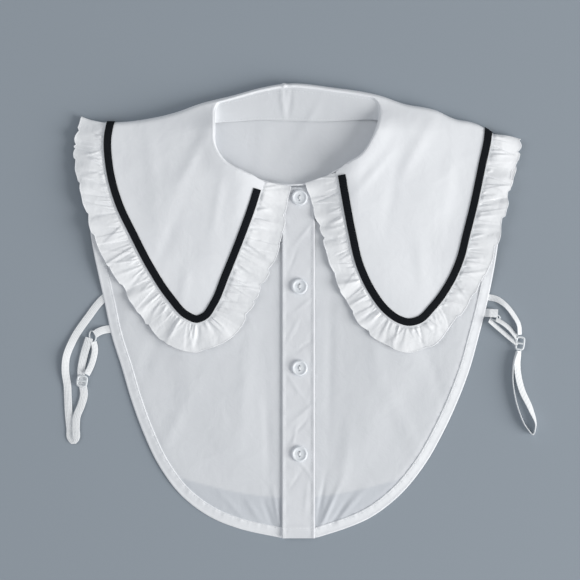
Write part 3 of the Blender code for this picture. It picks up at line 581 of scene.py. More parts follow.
# Small creases of the placket, most of them near its buttons, in the same columns
PLACKET_CREASES = (
    (3, 62, 26, 1.6, 0.3, 52),
    (-6, 40, 20, 1.5, -0.25, 70),
    (4, 6, 24, 1.7, 0.3, 40),
    (-5, -14, 26, 1.8, 0.25, 64),
    (3, -28, 20, 1.4, -0.25, 34),
    (-4, -60, 22, 1.6, 0.3, 124),
    (4, -80, 28, 1.8, 0.35, 42),
    (1, -92, 24, 1.5, -0.3, 50),
    (-5, -102, 20, 1.5, 0.25, 76),
    (4, -126, 26, 1.7, 0.35, 128),
    (-3, -134, 24, 1.6, -0.25, 58),
    (5, -150, 26, 2.0, 0.25, 84),
)

# Creases inside the neck: they run down from the pinch at centre back
BACK_CREASES = (
    (-14, 168, 26, 1.6, 0.8, 96),
    (-8, 166, 22, 1.4, -0.6, 84),
    (6, 150, 46, 3.0, 0.4, 60),
    (-30, 128, 50, 5.0, 0.4, 82),
    (20, 124, 50, 5.0, 0.4, 100),
)


def smooth(value, low, high):
    """Ease from 0 at low to 1 at high."""
    share = np.clip((value - low) / (high - low), 0.0, 1.0)
    return share * share * (3.0 - 2.0 * share)


def spline(rows):
    """Return a function of 0..1 that runs smoothly through the rows, by length in x and y."""
    points = np.array(rows, float)
    steps = np.linalg.norm(np.diff(points[:, :2], axis=0), axis=1)
    knots = np.concatenate(([0.0], np.cumsum(steps))) / steps.sum()
    slopes = np.gradient(points, knots, axis=0)

    def at(share):
        share = np.clip(np.asarray(share, float), 0.0, 1.0)
        piece = np.clip(np.searchsorted(knots, share, side="right") - 1, 0, len(knots) - 2)
        width = (knots[piece + 1] - knots[piece])[..., None]
        t = (share - knots[piece])[..., None] / width
        start = (2 * t**3 - 3 * t**2 + 1) * points[piece]
        start_slope = (t**3 - 2 * t**2 + t) * width * slopes[piece]
        end = (3 * t**2 - 2 * t**3) * points[piece + 1]
        end_slope = (t**3 - t**2) * width * slopes[piece + 1]
        return start + start_slope + end + end_slope

    at.knots = knots
    return at


def line_of(curve, count=90):
    """Return evenly spaced x, y points along a curve."""
    return curve(np.linspace(0.0, 1.0, count))[:, :2]


def distance_to(line, x, y, batch=3000):
    """Return how far each place lies from an open chain of x, y points."""
    places = np.stack((x, y), axis=-1).reshape(-1, 2)
    starts = line[:-1]
    runs = np.diff(line, axis=0)
    squares = np.maximum((runs * runs).sum(1), 1e-9)
    found = np.empty(len(places))
    for first in range(0, len(places), batch):
        away = places[first:first + batch, None] - starts
        share = np.clip((away * runs).sum(2) / squares, 0.0, 1.0)
        away -= runs * share[..., None]
        found[first:first + batch] = np.sqrt((away * away).sum(2).min(1))
    return found.reshape(np.shape(x))


def inside(loop, x, y, batch=6000):
    """Tell for each place whether it lies within a closed chain of x, y points."""
    flat_x = np.asarray(x, float).ravel()
    flat_y = np.asarray(y, float).ravel()
    ends = np.roll(loop, -1, axis=0)
    rise = ends[:, 1] - loop[:, 1]
    rise = np.where(np.abs(rise) < 1e-12, 1e-12, rise)
    found = np.empty(len(flat_x), bool)
    for first in range(0, len(flat_x), batch):
        px = flat_x[first:first + batch, None]
        py = flat_y[first:first + batch, None]
        crosses = (loop[:, 1] > py) != (ends[:, 1] > py)
        cut = loop[:, 0] + (py - loop[:, 1]) * (ends[:, 0] - loop[:, 0]) / rise
        found[first:first + batch] = (crosses & (cut > px)).sum(1) % 2 == 1
    return found.reshape(np.shape(x))


def welt(spec, place):
    """Return the height of a rounded welt, given as height, middle and width."""
    height, middle, width = spec
    return height * np.exp(-(((place - middle) / width) ** 2))


def ridges(table, x, y):
    """Return the height of soft ridges and troughs: x, y, length, width, height, direction."""
    height = np.zeros(np.shape(x))
    for ridge_x, ridge_y, length, width, rise, degrees in table:
        turn = math.radians(degrees)
        along = (x - ridge_x) * math.cos(turn) + (y - ridge_y) * math.sin(turn)
        across = -(x - ridge_x) * math.sin(turn) + (y - ridge_y) * math.cos(turn)
        height += rise * np.exp(-((RIDGE_TAPER * along / length) ** 2) - (across / width) ** 2)
    return height


def unit(vectors):
    """Return the vectors at length one."""
    return vectors / np.linalg.norm(vectors, axis=-1, keepdims=True)


def plan_ways(curve, share, step):
    """Return unit directions in x and y along a curve."""
    return unit(curve(share + step)[:, :2] - curve(share - step)[:, :2])


FOLD_CHAIN = line_of(spline(FOLD_LINE), 300)
FRONT_CURVES = (spline(FRONT_LEFT_OF_PHOTO), spline(FRONT_RIGHT_OF_PHOTO))
BACK_CURVE = spline([(left, y, right, bow) for left, right, y, bow in BACK])
LEAF_TABLES = (LEAF_LEFT_OF_PHOTO, LEAF_RIGHT_OF_PHOTO)
LEAF_CURVES = [spline(rows) for rows in LEAF_TABLES]
SEAMS = [spline([row[:2] for row in rows]) for rows in LEAF_TABLES]
SEAM_CHAIN = np.vstack((line_of(SEAMS[0], 110), line_of(SEAMS[1], 110)[::-1]))
NECK_CHAIN = line_of(spline([row[:2] for row in STAND]), 90)


def fold_y(x):
    """Return where the fold line lies on the plan at x."""
    return np.interp(x, FOLD_CHAIN[:, 0], FOLD_CHAIN[:, 1])


def folded_y(x, y):
    """Return where a point of the unfolded plane ends up on the plan."""
    line = fold_y(x)
    past = y - line
    turn = np.clip(-past / FOLD_HALF, -1.0, 1.0) * math.pi / 2
    return line - FOLD_DEPTH * (1.0 - np.cos(turn)) - np.maximum(0.0, np.abs(past) - FOLD_HALF)


def body_loop():
    """Return the outline of the fronts and the neck together as a closed chain."""
    left, right = (line_of(curve) for curve in FRONT_CURVES)
    across = FOLD_CHAIN[(FOLD_CHAIN[:, 0] > left[-1, 0]) & (FOLD_CHAIN[:, 0] < right[-1, 0])][::5]
    return np.vstack((left, across - (0.0, FOLD_DEPTH), right[::-1]))


def back_loop(count=40):
    """Return the outline of the back panel as a closed chain."""
    across = np.linspace(0.0, 1.0, count)
    rows = BACK_CURVE(across)
    hem_x = rows[0, 0] + (rows[0, 2] - rows[0, 0]) * across
    hem_y = rows[0, 1] - rows[0, 3] * np.sin(math.pi * across)
    left = rows[::-1, :2]
    right = rows[:, [2, 1]]
    return np.vstack((left, np.stack((hem_x, hem_y), axis=1), right))


BODY = body_loop()
BACK_OUTLINE = back_loop()

# How far the collar reaches under the back panel, which rises over it, as the fronts do
UNDER_REACH = float(folded_y(*LEAF_LEFT_OF_PHOTO[-1][2:4]))
BACK_RISE = (UNDER_REACH - 45.0, UNDER_REACH - 3.0)
FRONT_EASE_FADE = (UNDER_REACH - 75.0, UNDER_REACH - 50.0)


def back_height(y):
    """Return the lower face of the back panel's solid."""
    return BACK_LIFT * smooth(y, *BACK_RISE)


def front_height(x, y):
    """Return the lower face of the fronts' solids."""
    ease = FRONT_EASE * smooth(y, *FRONT_EASE_FADE)
    inner = smooth(distance_to(BODY, x, y), *SOFT_FOLDS_FROM_EDGE)
    return back_height(y) + STEP + ease + ridges(SOFT_FOLDS, x, y) * inner


def past_outline(loop, x, y):
    """Return how far each place lies outside a closed chain, and 0 within it."""
    return np.where(inside(loop, x, y), 0.0, distance_to(loop, x, y))


def front_top(x, y):
    """Return the upper face of the fronts' cloth, which droops to the surface at its edge."""
    from_edge = distance_to(BODY, x, y)
    open_edge = 1.0 - smooth(y, *OPEN_EDGE_FADE)
    droop = EDGE_DROOP * (1.0 - smooth(from_edge, 0.0, EDGE_DROOP_WIDTH)) * open_edge
    past_back = past_outline(BACK_OUTLINE, x, y)
    settle = SINGLE_SETTLE * smooth(past_back, 0.0, SINGLE_SETTLE_WIDTH) * open_edge
    creases = ridges(FRONT_CREASES, x, y) * smooth(from_edge, *CREASES_FROM_EDGE)
    return front_height(x, y) + SOLID_CLOTH - droop - settle + creases


def neck_roll(x, y):
    """Return how much the leaf rises where it rolls over the neck edge."""
    aside = np.abs(x - NECK_MIDDLE_X)
    round_front = ROLL_AT_FRONT + (ROLL_AT_SIDES - ROLL_AT_FRONT) * smooth(aside, *ROLL_TO_SIDES)
    amount = round_front + (ROLL_AT_BACK - round_front) * smooth(y, *ROLL_TO_BACK)
    from_neck = distance_to(NECK_CHAIN, x, y)
    slope = SLOPE_FROM_NECK * (1.0 - smooth(from_neck, *SLOPE_SPREAD))
    slope *= smooth(aside, *SLOPE_TO_SIDES) * (1.0 - smooth(y, *SLOPE_TO_BACK))
    return amount * np.exp(-((from_neck / ROLL_SPREAD) ** 2)) + slope


def leaf_top(x, y):
    """Return the upper face of the leaf where it lies on the fronts, or hangs past their edge."""
    base = back_height(y)
    over_fronts = front_height(x, y) - base + 2 * STEP + LEAF_EASE
    droop = OFF_BODY_DROOP * smooth(past_outline(BODY, x, y), *OFF_BODY_FADE)
    return base + over_fronts * (1.0 - droop) + SOLID_CLOTH + neck_roll(x, y)


def leaf_under(x, y_flat):
    """Return the lower face of the collar under the back panel: its ribbon lies on the surface."""
    dip = smooth(distance_to(SEAM_CHAIN, x, y_flat), *UNDER_DIP_FADE)
    return STEP * (1.0 - np.where(inside(SEAM_CHAIN, x, y_flat), dip, 0.0))


def leaf_point(flat):
    """Fold places of the flat pattern to the outer face of the cloth."""
    x = flat[..., 0]
    y_flat = flat[..., 1]
    past = y_flat - fold_y(x)
    turn = np.clip(-past / FOLD_HALF, -1.0, 1.0) * math.pi / 2
    y = folded_y(x, y_flat)
    top = leaf_top(x, y)
    under = np.where(past > -FOLD_HALF, leaf_under(x, y_flat), 0.0)
    z = (top + under) / 2 + (top - under) / 2 * np.sin(turn)
    return np.stack((x, y, z), axis=-1)


def grid_normals(grid):
    """Return the unit normals of a grid of points, by its own neighbours."""
    normal = np.cross(np.gradient(grid, axis=0), np.gradient(grid, axis=1))
    return normal / np.maximum(np.linalg.norm(normal, axis=-1, keepdims=True), 1e-9)


def facing_up(grid):
    """Return the unit normals of a grid that lies flat, pointing up."""
    normals = grid_normals(grid)
    return normals * np.sign(normals[..., 2:].mean())


def facing_out(grid):
    """Return the outward unit normals of a grid on a leaf, whose first sections lie face up."""
    normals = grid_normals(grid)
    return normals * np.sign(normals[:len(grid) // 3, ..., 2:].mean())


def srgb(code):
    """Turn an sRGB hex colour into linear red, green, blue and alpha."""
    parts = [int(code[place:place + 2], 16) / 255.0 for place in (1, 3, 5)]
    linear = [part / 12.92 if part <= 0.04045 else ((part + 0.055) / 1.055) ** 2.4 for part in parts]
    return (*linear, 1.0)


def add_node(tree, kind, inputs=None, **settings):
    """Add a node; each input is a value, or the output of another node to link."""
    made = tree.nodes.new(kind)
    for name, value in settings.items():
        setattr(made, name, value)
    for name, value in (inputs or {}).items():
        if isinstance(value, bpy.types.NodeSocket):
            tree.links.new(value, made.inputs[name])
        else:
            made.inputs[name].default_value = value
    return made


class Look:
    """A material in the making: its shader, and the place that its patterns are drawn from."""

    def __init__(self, name, colour, roughness, on_cloth=False, **constants):
        """Set constants on the shader's sockets; patterns follow a cloth's UV map, or its place."""
        self.material = bpy.data.materials.new(name)
        self.material.use_nodes = True
        self.material.diffuse_color = srgb(colour)
        self.tree = self.material.node_tree
        self.shader = self.tree.nodes["Principled BSDF"]
        self.shader.inputs["Base Color"].default_value = srgb(colour)
        self.shader.inputs["Roughness"].default_value = roughness
        for socket, value in constants.items():
            self.shader.inputs[socket.replace("_", " ")].default_value = value
        if on_cloth:
            self.place = self.add("ShaderNodeUVMap", uv_map="cloth").outputs["UV"]
        else:
            self.place = self.add("ShaderNodeTexCoord").outputs["Object"]

    def add(self, kind, inputs=None, **settings):
        """Add a node to the material."""
        return add_node(self.tree, kind, inputs, **settings)

    def noise(self, scale, detail, **more):
        """Return a cloudy pattern."""
        return self.add("ShaderNodeTexNoise", {"Vector": self.place, "Scale": scale,
                                               "Detail": detail, **more}).outputs["Fac"]

    def bands(self, pitch, direction, **more):
        """Return soft bands that lie so many millimetres apart."""
        scale = 2 * math.pi / (pitch * MM) / WAVE_TEXTURE_TURN
        more = {socket.replace("_", " "): value for socket, value in more.items()}
        return self.add("ShaderNodeTexWave", {"Vector": self.place, "Scale": scale, **more},
                        bands_direction=direction).outputs["Fac"]

    def maths(self, operation, one, other):
        """Return the sum or the product of two patterns."""
        return self.add("ShaderNodeMath", {0: one, 1: other}, operation=operation).outputs[0]

    def mix(self, share, low, high):
        """Return a colour between two, by a pattern."""
        values = {MIX_SHARE: share, MIX_LOW: low, MIX_HIGH: high}
        return self.add("ShaderNodeMix", values, data_type="RGBA").outputs[MIX_RESULT]

    def bump(self, height, strength, distance, **under):
        """Return normals that a pattern raises, on top of other normals if they are given."""
        return self.add("ShaderNodeBump", {"Height": height, "Strength": strength,
                                           "Distance": distance, **under}).outputs[0]

    def wear(self, colour=None, normal=None):
        """Give the shader its colour and its normals, and return the material."""
        for socket, value in (("Base Color", colour), ("Normal", normal)):
            if value is not None:
                self.tree.links.new(value, self.shader.inputs[socket])
        return self.material


def poplin_material(name, light, shade, single_layer=None, crumple_scale=55.0, crumple=0.45):
    """Plain-woven white cotton poplin, washed and pressed: matt, with a faint sheen and soft waves.

    The threads are 0.25 mm apart in the real cloth and are drawn at 0.9 mm, so that a close
    view shows them. single_layer is the colour where no second layer backs the sheer cloth.
    """
    look = Look(name, light, 0.82, Sheen_Weight=0.25, Sheen_Roughness=0.4, Specular_IOR_Level=0.3)
    colour = look.mix(look.noise(26.0, 3.0, Roughness=0.55), srgb(light), srgb(shade))
    if single_layer is not None:
        backed = look.add("ShaderNodeAttribute", attribute_name="backed").outputs["Fac"]
        colour = look.mix(backed, srgb(single_layer), colour)
    threads = [look.bands(WEAVE_PITCH, way, Distortion=0.6, Detail_Scale=2.0) for way in "XY"]
    soft = look.bump(look.noise(crumple_scale, 4.0, Roughness=0.52, Distortion=0.4), crumple, 0.0014)
    return look.wear(colour, look.bump(look.maths("MULTIPLY", *threads), 0.25, 0.0001, Normal=soft))


def grosgrain_material():
    """Black polyester grosgrain, woven with ribs across: dull, with a faint painted highlight on each
    rib.

    The ribs are 0.7 mm apart and are drawn at 1.3 mm, because finer ones don't show.
    """
    look = Look("black_woven_grosgrain", "#0F1318", 0.8, on_cloth=True, Specular_IOR_Level=0.17)
    ribs = look.bands(GROSGRAIN_PITCH, "X", Distortion=0.25)
    # Each rib's lighter colour is a painted highlight; the bump raises the ribs as well.
    return look.wear(look.mix(ribs, srgb("#0A0C10"), srgb("#161B22")), look.bump(ribs, 0.7, 0.0003))


def elastic_material():
    """White braided elastic: matt, with fine ribs along it and a soft zigzag across."""
    look = Look("white_braided_elastic", "#F6F8FA", 0.78, on_cloth=True, Sheen_Weight=0.2,
                Specular_IOR_Level=0.3)
    ribs = look.bands(ELASTIC_RIB_PITCH, "Y")
    zigzag = look.bands(ELASTIC_ZIGZAG_PITCH, "DIAGONAL", Distortion=0.8)
    braid = look.maths("ADD", ribs, zigzag)
    return look.wear(look.mix(ribs, srgb("#EDF0F3"), srgb("#FAFBFC")), look.bump(braid, 0.5, 0.0002))


def button_material():
    """Pearly cast polyester: smooth and glossy, with cloudy bluish and cream streaks."""
    look = Look("pearly_cast_polyester", "#EEF1F5", 0.5, Coat_Weight=0.12, Coat_Roughness=0.3,
                IOR=1.5)
    look.place = look.add("ShaderNodeMapping", {"Vector": look.place,
                                                "Scale": (1.0, 2.6, 1.0)}).outputs[0]
    clouds = look.noise(170.0, 3.0, Distortion=1.2)
    return look.wear(look.mix(clouds, srgb("#E0E6EE"), srgb("#F8FAFC")))


def nylon_material():
    """White moulded nylon of the rings and sliders: smooth, a little glossy."""
    look = Look("white_moulded_nylon", "#E9EDF0", 0.34, Coat_Weight=0.25, IOR=1.53)
    return look.wear(look.mix(look.noise(500.0, 2.0), srgb("#DDE3E8"), srgb("#F1F4F6")))


def thread_material():
    """White polyester sewing thread: smooth, twisted, with a small highlight."""
    look = Look("white_sewing_thread", "#F6F8FA", 0.5, Sheen_Weight=0.2)
    return look.wear(normal=look.bump(look.noise(1400.0, 1.0), 0.3, 0.0001))


def floor_material():
    """A plain pale studio floor of matt paper."""
    look = Look("pale_matt_paper", "#9CA5AE", 0.9, Specular_IOR_Level=0.1)
    return look.wear(look.mix(look.noise(900.0, 2.0), srgb("#9AA3AC"), srgb("#9EA7B0")))


def add_object(name, data):
    """Put a mesh, a light or a camera in the scene."""
    made = bpy.data.objects.new(name, data)
    bpy.context.scene.collection.objects.link(made)
    return made


def finish_mesh(name, mesh, material, sharp=50.0):
    """Shade a mesh smooth, give it its material and put it in the scene as one object."""
    mesh.materials.clear()
    mesh.materials.append(material)
    mesh.shade_smooth()
    mesh.set_sharp_from_angle(angle=math.radians(sharp))
    return add_object(name, mesh)


def cloth_mesh(name, outer, inner, material, attributes=None):
    """Close two matching grids of points, outer and inner, into one thin shell of cloth.

    Its UV map, cloth, holds metres along the first axis and across the second.
    """
    rows, columns = outer.shape[:2]
    count = rows * columns
    number = np.arange(count).reshape(rows, columns)
    quads = np.stack((number[:-1, :-1], number[1:, :-1], number[1:, 1:], number[:-1, 1:]), axis=-1)
    quads = quads.reshape(-1, 4)
    rim = np.concatenate((number[0, :-1], number[:-1, -1], number[-1, :0:-1], number[:0:-1, 0]))
    following = np.roll(rim, -1)
    sides = np.stack((rim, following, following + count, rim + count), axis=1)
    faces = np.vstack((quads, quads[:, ::-1] + count, sides[:, ::-1]))
    points = np.vstack((outer.reshape(-1, 3), inner.reshape(-1, 3))) * MM
    mesh = bpy.data.meshes.new(name)
    mesh.from_pydata(points.tolist(), [], faces.tolist())
    place = np.stack((path_lengths(outer, 0), path_lengths(outer, 1)), axis=-1).reshape(-1, 2)
    place = np.tile(place, (2, 1)) * MM
    uv = mesh.uv_layers.new(name="cloth")
    corners = np.empty(len(mesh.loops), int)
    mesh.loops.foreach_get("vertex_index", corners)
    uv.data.foreach_set("uv", place[corners].ravel())
    for attribute, values in (attributes or {}).items():
        layer = mesh.attributes.new(attribute, "FLOAT", "POINT")
        layer.data.foreach_set("value", np.tile(np.ravel(values), 2))
    turn_outwards(mesh)
    return finish_mesh(name, mesh, material)


def turn_outwards(mesh):
    """Make a closed mesh's faces point outwards."""
    work = bmesh.new()
    work.from_mesh(mesh)
    bmesh.ops.recalc_face_normals(work, faces=work.faces)
    work.to_mesh(mesh)
    work.free()


def mesh_from(work, name):
    """Keep worked geometry as a new mesh."""
    mesh = bpy.data.meshes.new(name)
    work.to_mesh(mesh)
    work.free()
    return mesh


def path_lengths(grid, axis):
    """Return how far each point of a grid lies along one axis, along the cloth."""
    steps = np.linalg.norm(np.diff(grid, axis=axis), axis=-1)
    start = np.zeros_like(np.take(steps, [0], axis=axis))
    return np.concatenate((start, np.cumsum(steps, axis=axis)), axis=axis)


def belong(piece, slot, *nodes):
    """Attach a piece to the collar and hide the solids that it stands for; slot, what it is made of, is
    not used.
    """
    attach(piece, "root")
    if nodes:
        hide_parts(*nodes)
    return piece


def declare_cloth(piece, node, with_pieces=()):
    """Attach a sheet of cloth to the collar and hide the solid that it stands for; with_pieces is not
    used.
    """
    belong(piece, "poplin", node)


def lying_cloth(name, x, y, top, material, attributes=None):
    """Make a thin shell whose upper face has the given heights."""
    outer = np.stack((x, y, top), axis=-1)
    inner = outer - facing_up(outer) * CLOTH
    return cloth_mesh(name, outer, inner, material, attributes), outer


def plain_from_nodes(name, source, tree, values, material):
    """Run a Geometry Nodes tree on a line of points and keep the result as a plain mesh."""
    modifier = source.modifiers.new("maker", "NODES")
    modifier.node_group = tree
    for item in tree.interface.items_tree:
        if item.item_type == "SOCKET" and item.in_out == "INPUT" and item.name in values:
            modifier[item.identifier] = values[item.name]
    graph = bpy.context.evaluated_depsgraph_get()
    mesh = bpy.data.meshes.new_from_object(source.evaluated_get(graph))
    source.modifiers.remove(modifier)
    bpy.data.objects.remove(source, do_unlink=True)
    mesh.name = name
    mesh.materials.clear()
    mesh.materials.append(material)
    return add_object(name, mesh)


def line_object(name, lines):
    """Make a mesh of open chains of points, for Geometry Nodes to follow."""
    points = []
    edges = []
    for line in lines:
        first = len(points)
        points.extend((np.asarray(line) * MM).tolist())
        edges.extend((first + step, first + step + 1) for step in range(len(line) - 1))
    mesh = bpy.data.meshes.new(name)
    mesh.from_pydata(points, edges, [])
    return add_object(name, mesh)


def start_tree(name, inputs):
    """Start a Geometry Nodes tree that follows a line of points, with named inputs."""
    tree = bpy.data.node_groups.new(name, "GeometryNodeTree")
    for way in ("INPUT", "OUTPUT"):
        tree.interface.new_socket("Geometry", in_out=way, socket_type="NodeSocketGeometry")
    for label, kind, value in inputs:
        socket = tree.interface.new_socket(label, in_out="INPUT", socket_type=kind)
        socket.default_value = value
    tree.interface.new_socket("Material", in_out="INPUT", socket_type="NodeSocketMaterial")
    given = add_node(tree, "NodeGroupInput").outputs
    curve = add_node(tree, "GeometryNodeMeshToCurve", {"Mesh": given["Geometry"]})
    return tree, given, curve.outputs[0]


def end_tree(tree, given, geometry):
    """End a tree: real geometry, shaded smooth, in the given material."""
    real = add_node(tree, "GeometryNodeRealizeInstances", {"Geometry": geometry.outputs[0]})
    shaded = add_node(tree, "GeometryNodeSetShadeSmooth", {"Geometry": real.outputs[0]})
    coated = add_node(tree, "GeometryNodeSetMaterial",
                      {"Geometry": shaded.outputs[0], "Material": given["Material"]})
    tree.links.new(coated.outputs[0], add_node(tree, "NodeGroupOutput").inputs[0])
    return tree


def stitch_tree():
    """Stitches lie end to end along a line: pitch, length and thickness of the thread in metres."""
    tree, given, curve = start_tree("row_of_stitches", (
        ("Pitch", "NodeSocketFloat", STITCH_PITCH * MM),
        ("Length", "NodeSocketFloat", STITCH_LENGTH * MM),
        ("Thread", "NodeSocketFloat", THREAD * MM),
    ))
    points = add_node(tree, "GeometryNodeCurveToPoints",
                      {"Curve": curve, "Length": given["Pitch"]}, mode="LENGTH")
    bead = add_node(tree, "GeometryNodeMeshUVSphere", {"Segments": 6, "Rings": 4, "Radius": 0.5})
    size = add_node(tree, "ShaderNodeCombineXYZ",
                    {"X": given["Length"], "Y": given["Thread"], "Z": given["Thread"]})
    turn = add_node(tree, "FunctionNodeAlignRotationToVector",
                    {"Vector": points.outputs["Tangent"]}, axis="X")
    placed = add_node(tree, "GeometryNodeInstanceOnPoints",
                      {"Points": points.outputs["Points"], "Instance": bead.outputs["Mesh"],
                       "Rotation": turn.outputs[0], "Scale": size.outputs[0]})
    return end_tree(tree, given, placed)


def roll_tree():
    """A narrow rolled edge of cloth follows a line: its radius in metres and its sides."""
    tree, given, curve = start_tree("rolled_edge", (
        ("Radius", "NodeSocketFloat", EDGE_ROLL * MM),
        ("Sides", "NodeSocketInt", 8),
    ))
    ring = add_node(tree, "GeometryNodeCurvePrimitiveCircle",
                    {"Resolution": given["Sides"], "Radius": given["Radius"]})
    tube = add_node(tree, "GeometryNodeCurveToMesh",
                    {"Curve": curve, "Profile Curve": ring.outputs[0], "Fill Caps": True})
    return end_tree(tree, given, tube)


def add_stitches(name, lines, thread=THREAD):
    """Sew rows of stitches along lines of points that lie on the cloth."""
    values = {"Pitch": STITCH_PITCH * MM, "Length": STITCH_LENGTH * MM, "Thread": thread * MM,
              "Material": THREADS}
    return belong(plain_from_nodes(name, line_object(name, lines), STITCHES, values, THREADS), "poplin")


def add_roll(name, line, radius, material, sides):
    """Roll the cloth's edge along a line of points."""
    values = {"Radius": radius * MM, "Sides": sides, "Material": material}
    piece = plain_from_nodes(name, line_object(name, [line]), ROLLS, values, material)
    turn_outwards(piece.data)
    return belong(piece, "poplin")


def make_back(sections=110, columns=90):
    """The back panel shows inside the neck, and its edge shows faintly through the fronts."""
    rows = BACK_CURVE(np.linspace(0.0, 1.0, sections))
    left, y, right, bow = (rows[:, [column]] for column in range(4))
    across = np.linspace(0.0, 1.0, columns)[None, :]
    x = left + (right - left) * across
    y = np.minimum(y - bow * np.sin(math.pi * across), fold_y(x) - SHOULDER_DROP)
    aside = (x - BACK_SAG_MIDDLE[0]) / BACK_SAG_SPREAD[0]
    ahead = (y - BACK_SAG_MIDDLE[1]) / BACK_SAG_SPREAD[1]
    sag = BACK_SAG * np.exp(-(aside ** 2) - ahead ** 2)
    top = back_height(y) + SOLID_CLOTH - BACK_BELOW_SOLID + ridges(BACK_CREASES, x, y) - sag
    # The back panel is drawn in the darker poplin: painted shade inside the neck.
    piece, grid = lying_cloth("back_cloth", x, y, top, POPLIN_SHADED)
    declare_cloth(piece, "back_panel")


def front_grid(side, sections=170, columns=70):
    """Return x and y of one front's cloth."""
    rows = FRONT_CURVES[side](np.linspace(0.0, 1.0, sections))
    across = np.linspace(0.0, 1.0, columns)[None, :]
    x = rows[:, [0]] + (rows[:, [2]] - rows[:, [0]]) * across
    x = np.maximum(x, LAP_X + GAP) if side else np.minimum(x, LAP_X)
    y = rows[:, [1]] + (rows[:, [3]] - rows[:, [1]]) * across
    return x, np.minimum(y, fold_y(x) - SHOULDER_DROP)


def make_fronts():
    """The two fronts lie on the back panel; past its hem the cloth is a single layer."""
    for side, word in enumerate(SIDES):
        x, y = front_grid(side)
        backed = 1.0 - smooth(past_outline(BACK_OUTLINE, x, y), 0.0, SINGLE_COLOUR_WIDTH)
        piece, grid = lying_cloth("front_cloth_" + word, x, y, front_top(x, y), POPLIN_FRONT,
                                  {"backed": backed})
        declare_cloth(piece, "front_" + word, make_hem(side, word))


def hem_lines(side, reaches, count=260):
    """Return lines of x, y that run along a front's edge at the given distances inside it."""
    share = np.linspace(HEM_START, HEM_STOP, count)
    here = FRONT_CURVES[side](share)[:, :2]
    way = plan_ways(FRONT_CURVES[side], share, HEM_WAY)
    mirror = -1.0 if side else 1.0
    normal = np.stack((way[:, 1], -way[:, 0]), axis=1) * mirror
    reaches = np.asarray(reaches, float)
    plan = here[:, None] + normal[:, None] * reaches[None, :, None]
    stop = PLACKET_MIDDLE - mirror * (PLACKET_WIDTH / 2 - HEM_UNDER_PLACKET)
    plan[..., 0] = (np.maximum if side else np.minimum)(plan[..., 0], stop)
    end = np.stack((np.full(len(reaches), stop), here[0, 1] - HEM_END_DROP + reaches), axis=-1)
    return np.concatenate((end[None], (end[None] + plan[:1]) / 2, plan))


def pucker_along(line):
    """Return small uneven puckers along a sewn line of x, y points, as a column of heights."""
    along = path_lengths(line, 0)[:, None]
    return sum(np.sin(along * turn + start) for turn, start in PUCKER_WAVES)


def make_hem(side, word):
    """A turned hem lies along a front's edge, with a row of stitches near its inner edge."""
    reach = np.array(HEM_REACHES)
    plan = hem_lines(side, reach)
    x, y = plan[..., 0], plan[..., 1]
    swell = HEM_SWELL_SHARE * np.interp(reach, *zip(*HEM_SWELL))
    pucker = pucker_along(plan[:, len(reach) // 2]) * welt(HEM_PUCKER, reach)
    top = front_top(x, y) + CLOTH + HEM_LIFT + swell + pucker
    piece, _ = lying_cloth("hem_cloth_" + word, x, y, top, POPLIN)
    belong(piece, "poplin", "hem_" + word)
    line = hem_lines(side, [HEM_WIDTH - HEM_STITCH_INSET])[:, 0]
    row = np.column_stack((line, front_top(*line.T) + CLOTH + STITCH_LIFTS["hem"]))
    return [piece, add_stitches("hem_stitches_" + word, [row], HEM_THREAD)]


def placket_top(x, y):
    """Return the placket's upper face: folded edges stand a little proud of its middle."""
    from_edge = PLACKET_WIDTH / 2 - np.abs(x - PLACKET_MIDDLE)
    welts = welt(PLACKET_FOLD, from_edge) + welt(PLACKET_ROUNDING, from_edge)
    welts += welt(PLACKET_HEM, y - PLACKET_BOTTOM)
    pucker = np.sin(y * 2 * math.pi / PLACKET_PUCKER_PITCH) * welt(PLACKET_PUCKER, from_edge)
    creases = ridges(PLACKET_CREASES, x, y) * smooth(from_edge, *PLACKET_CREASE_FADE)
    settle = PLACKET_SETTLE * (1.0 - smooth(y, *PLACKET_SETTLE_FADE))
    base = front_height(np.full_like(x, PLACKET_MIDDLE), y) + STEP + SOLID_CLOTH
    return base - settle + welts + pucker + creases


def make_placket():
    """The button placket runs down the middle, with stitches along its folded edges and hem."""
    y, x = np.meshgrid(np.linspace(PLACKET_BOTTOM, PLACKET_TOP, 260),
                       np.linspace(-0.5, 0.5, 44) * PLACKET_WIDTH + PLACKET_MIDDLE, indexing="ij")
    # The placket's darker poplin is painted shade.
    piece, grid = lying_cloth("placket_cloth", x, y, placket_top(x, y), POPLIN_PLACKET)
    half = PLACKET_WIDTH / 2
    inner = half - PLACKET_STITCH_INSET
    along = np.linspace(PLACKET_BOTTOM + 1.5, PLACKET_TOP - 1.0, 220)
    across = np.linspace(-half + 1.0, half - 1.0, 30) + PLACKET_MIDDLE
    rows = [(np.full_like(along, PLACKET_MIDDLE + reach), along) for reach in (-inner, inner)]
    rows.append((across, np.full_like(across, PLACKET_BOTTOM + PLACKET_HEM_STITCH)))
    lines = [np.column_stack((*row, placket_top(*row) + STITCH_LIFTS["placket"])) for row in rows]
    declare_cloth(piece,
                  "placket", [add_stitches("placket_stitches", lines)])


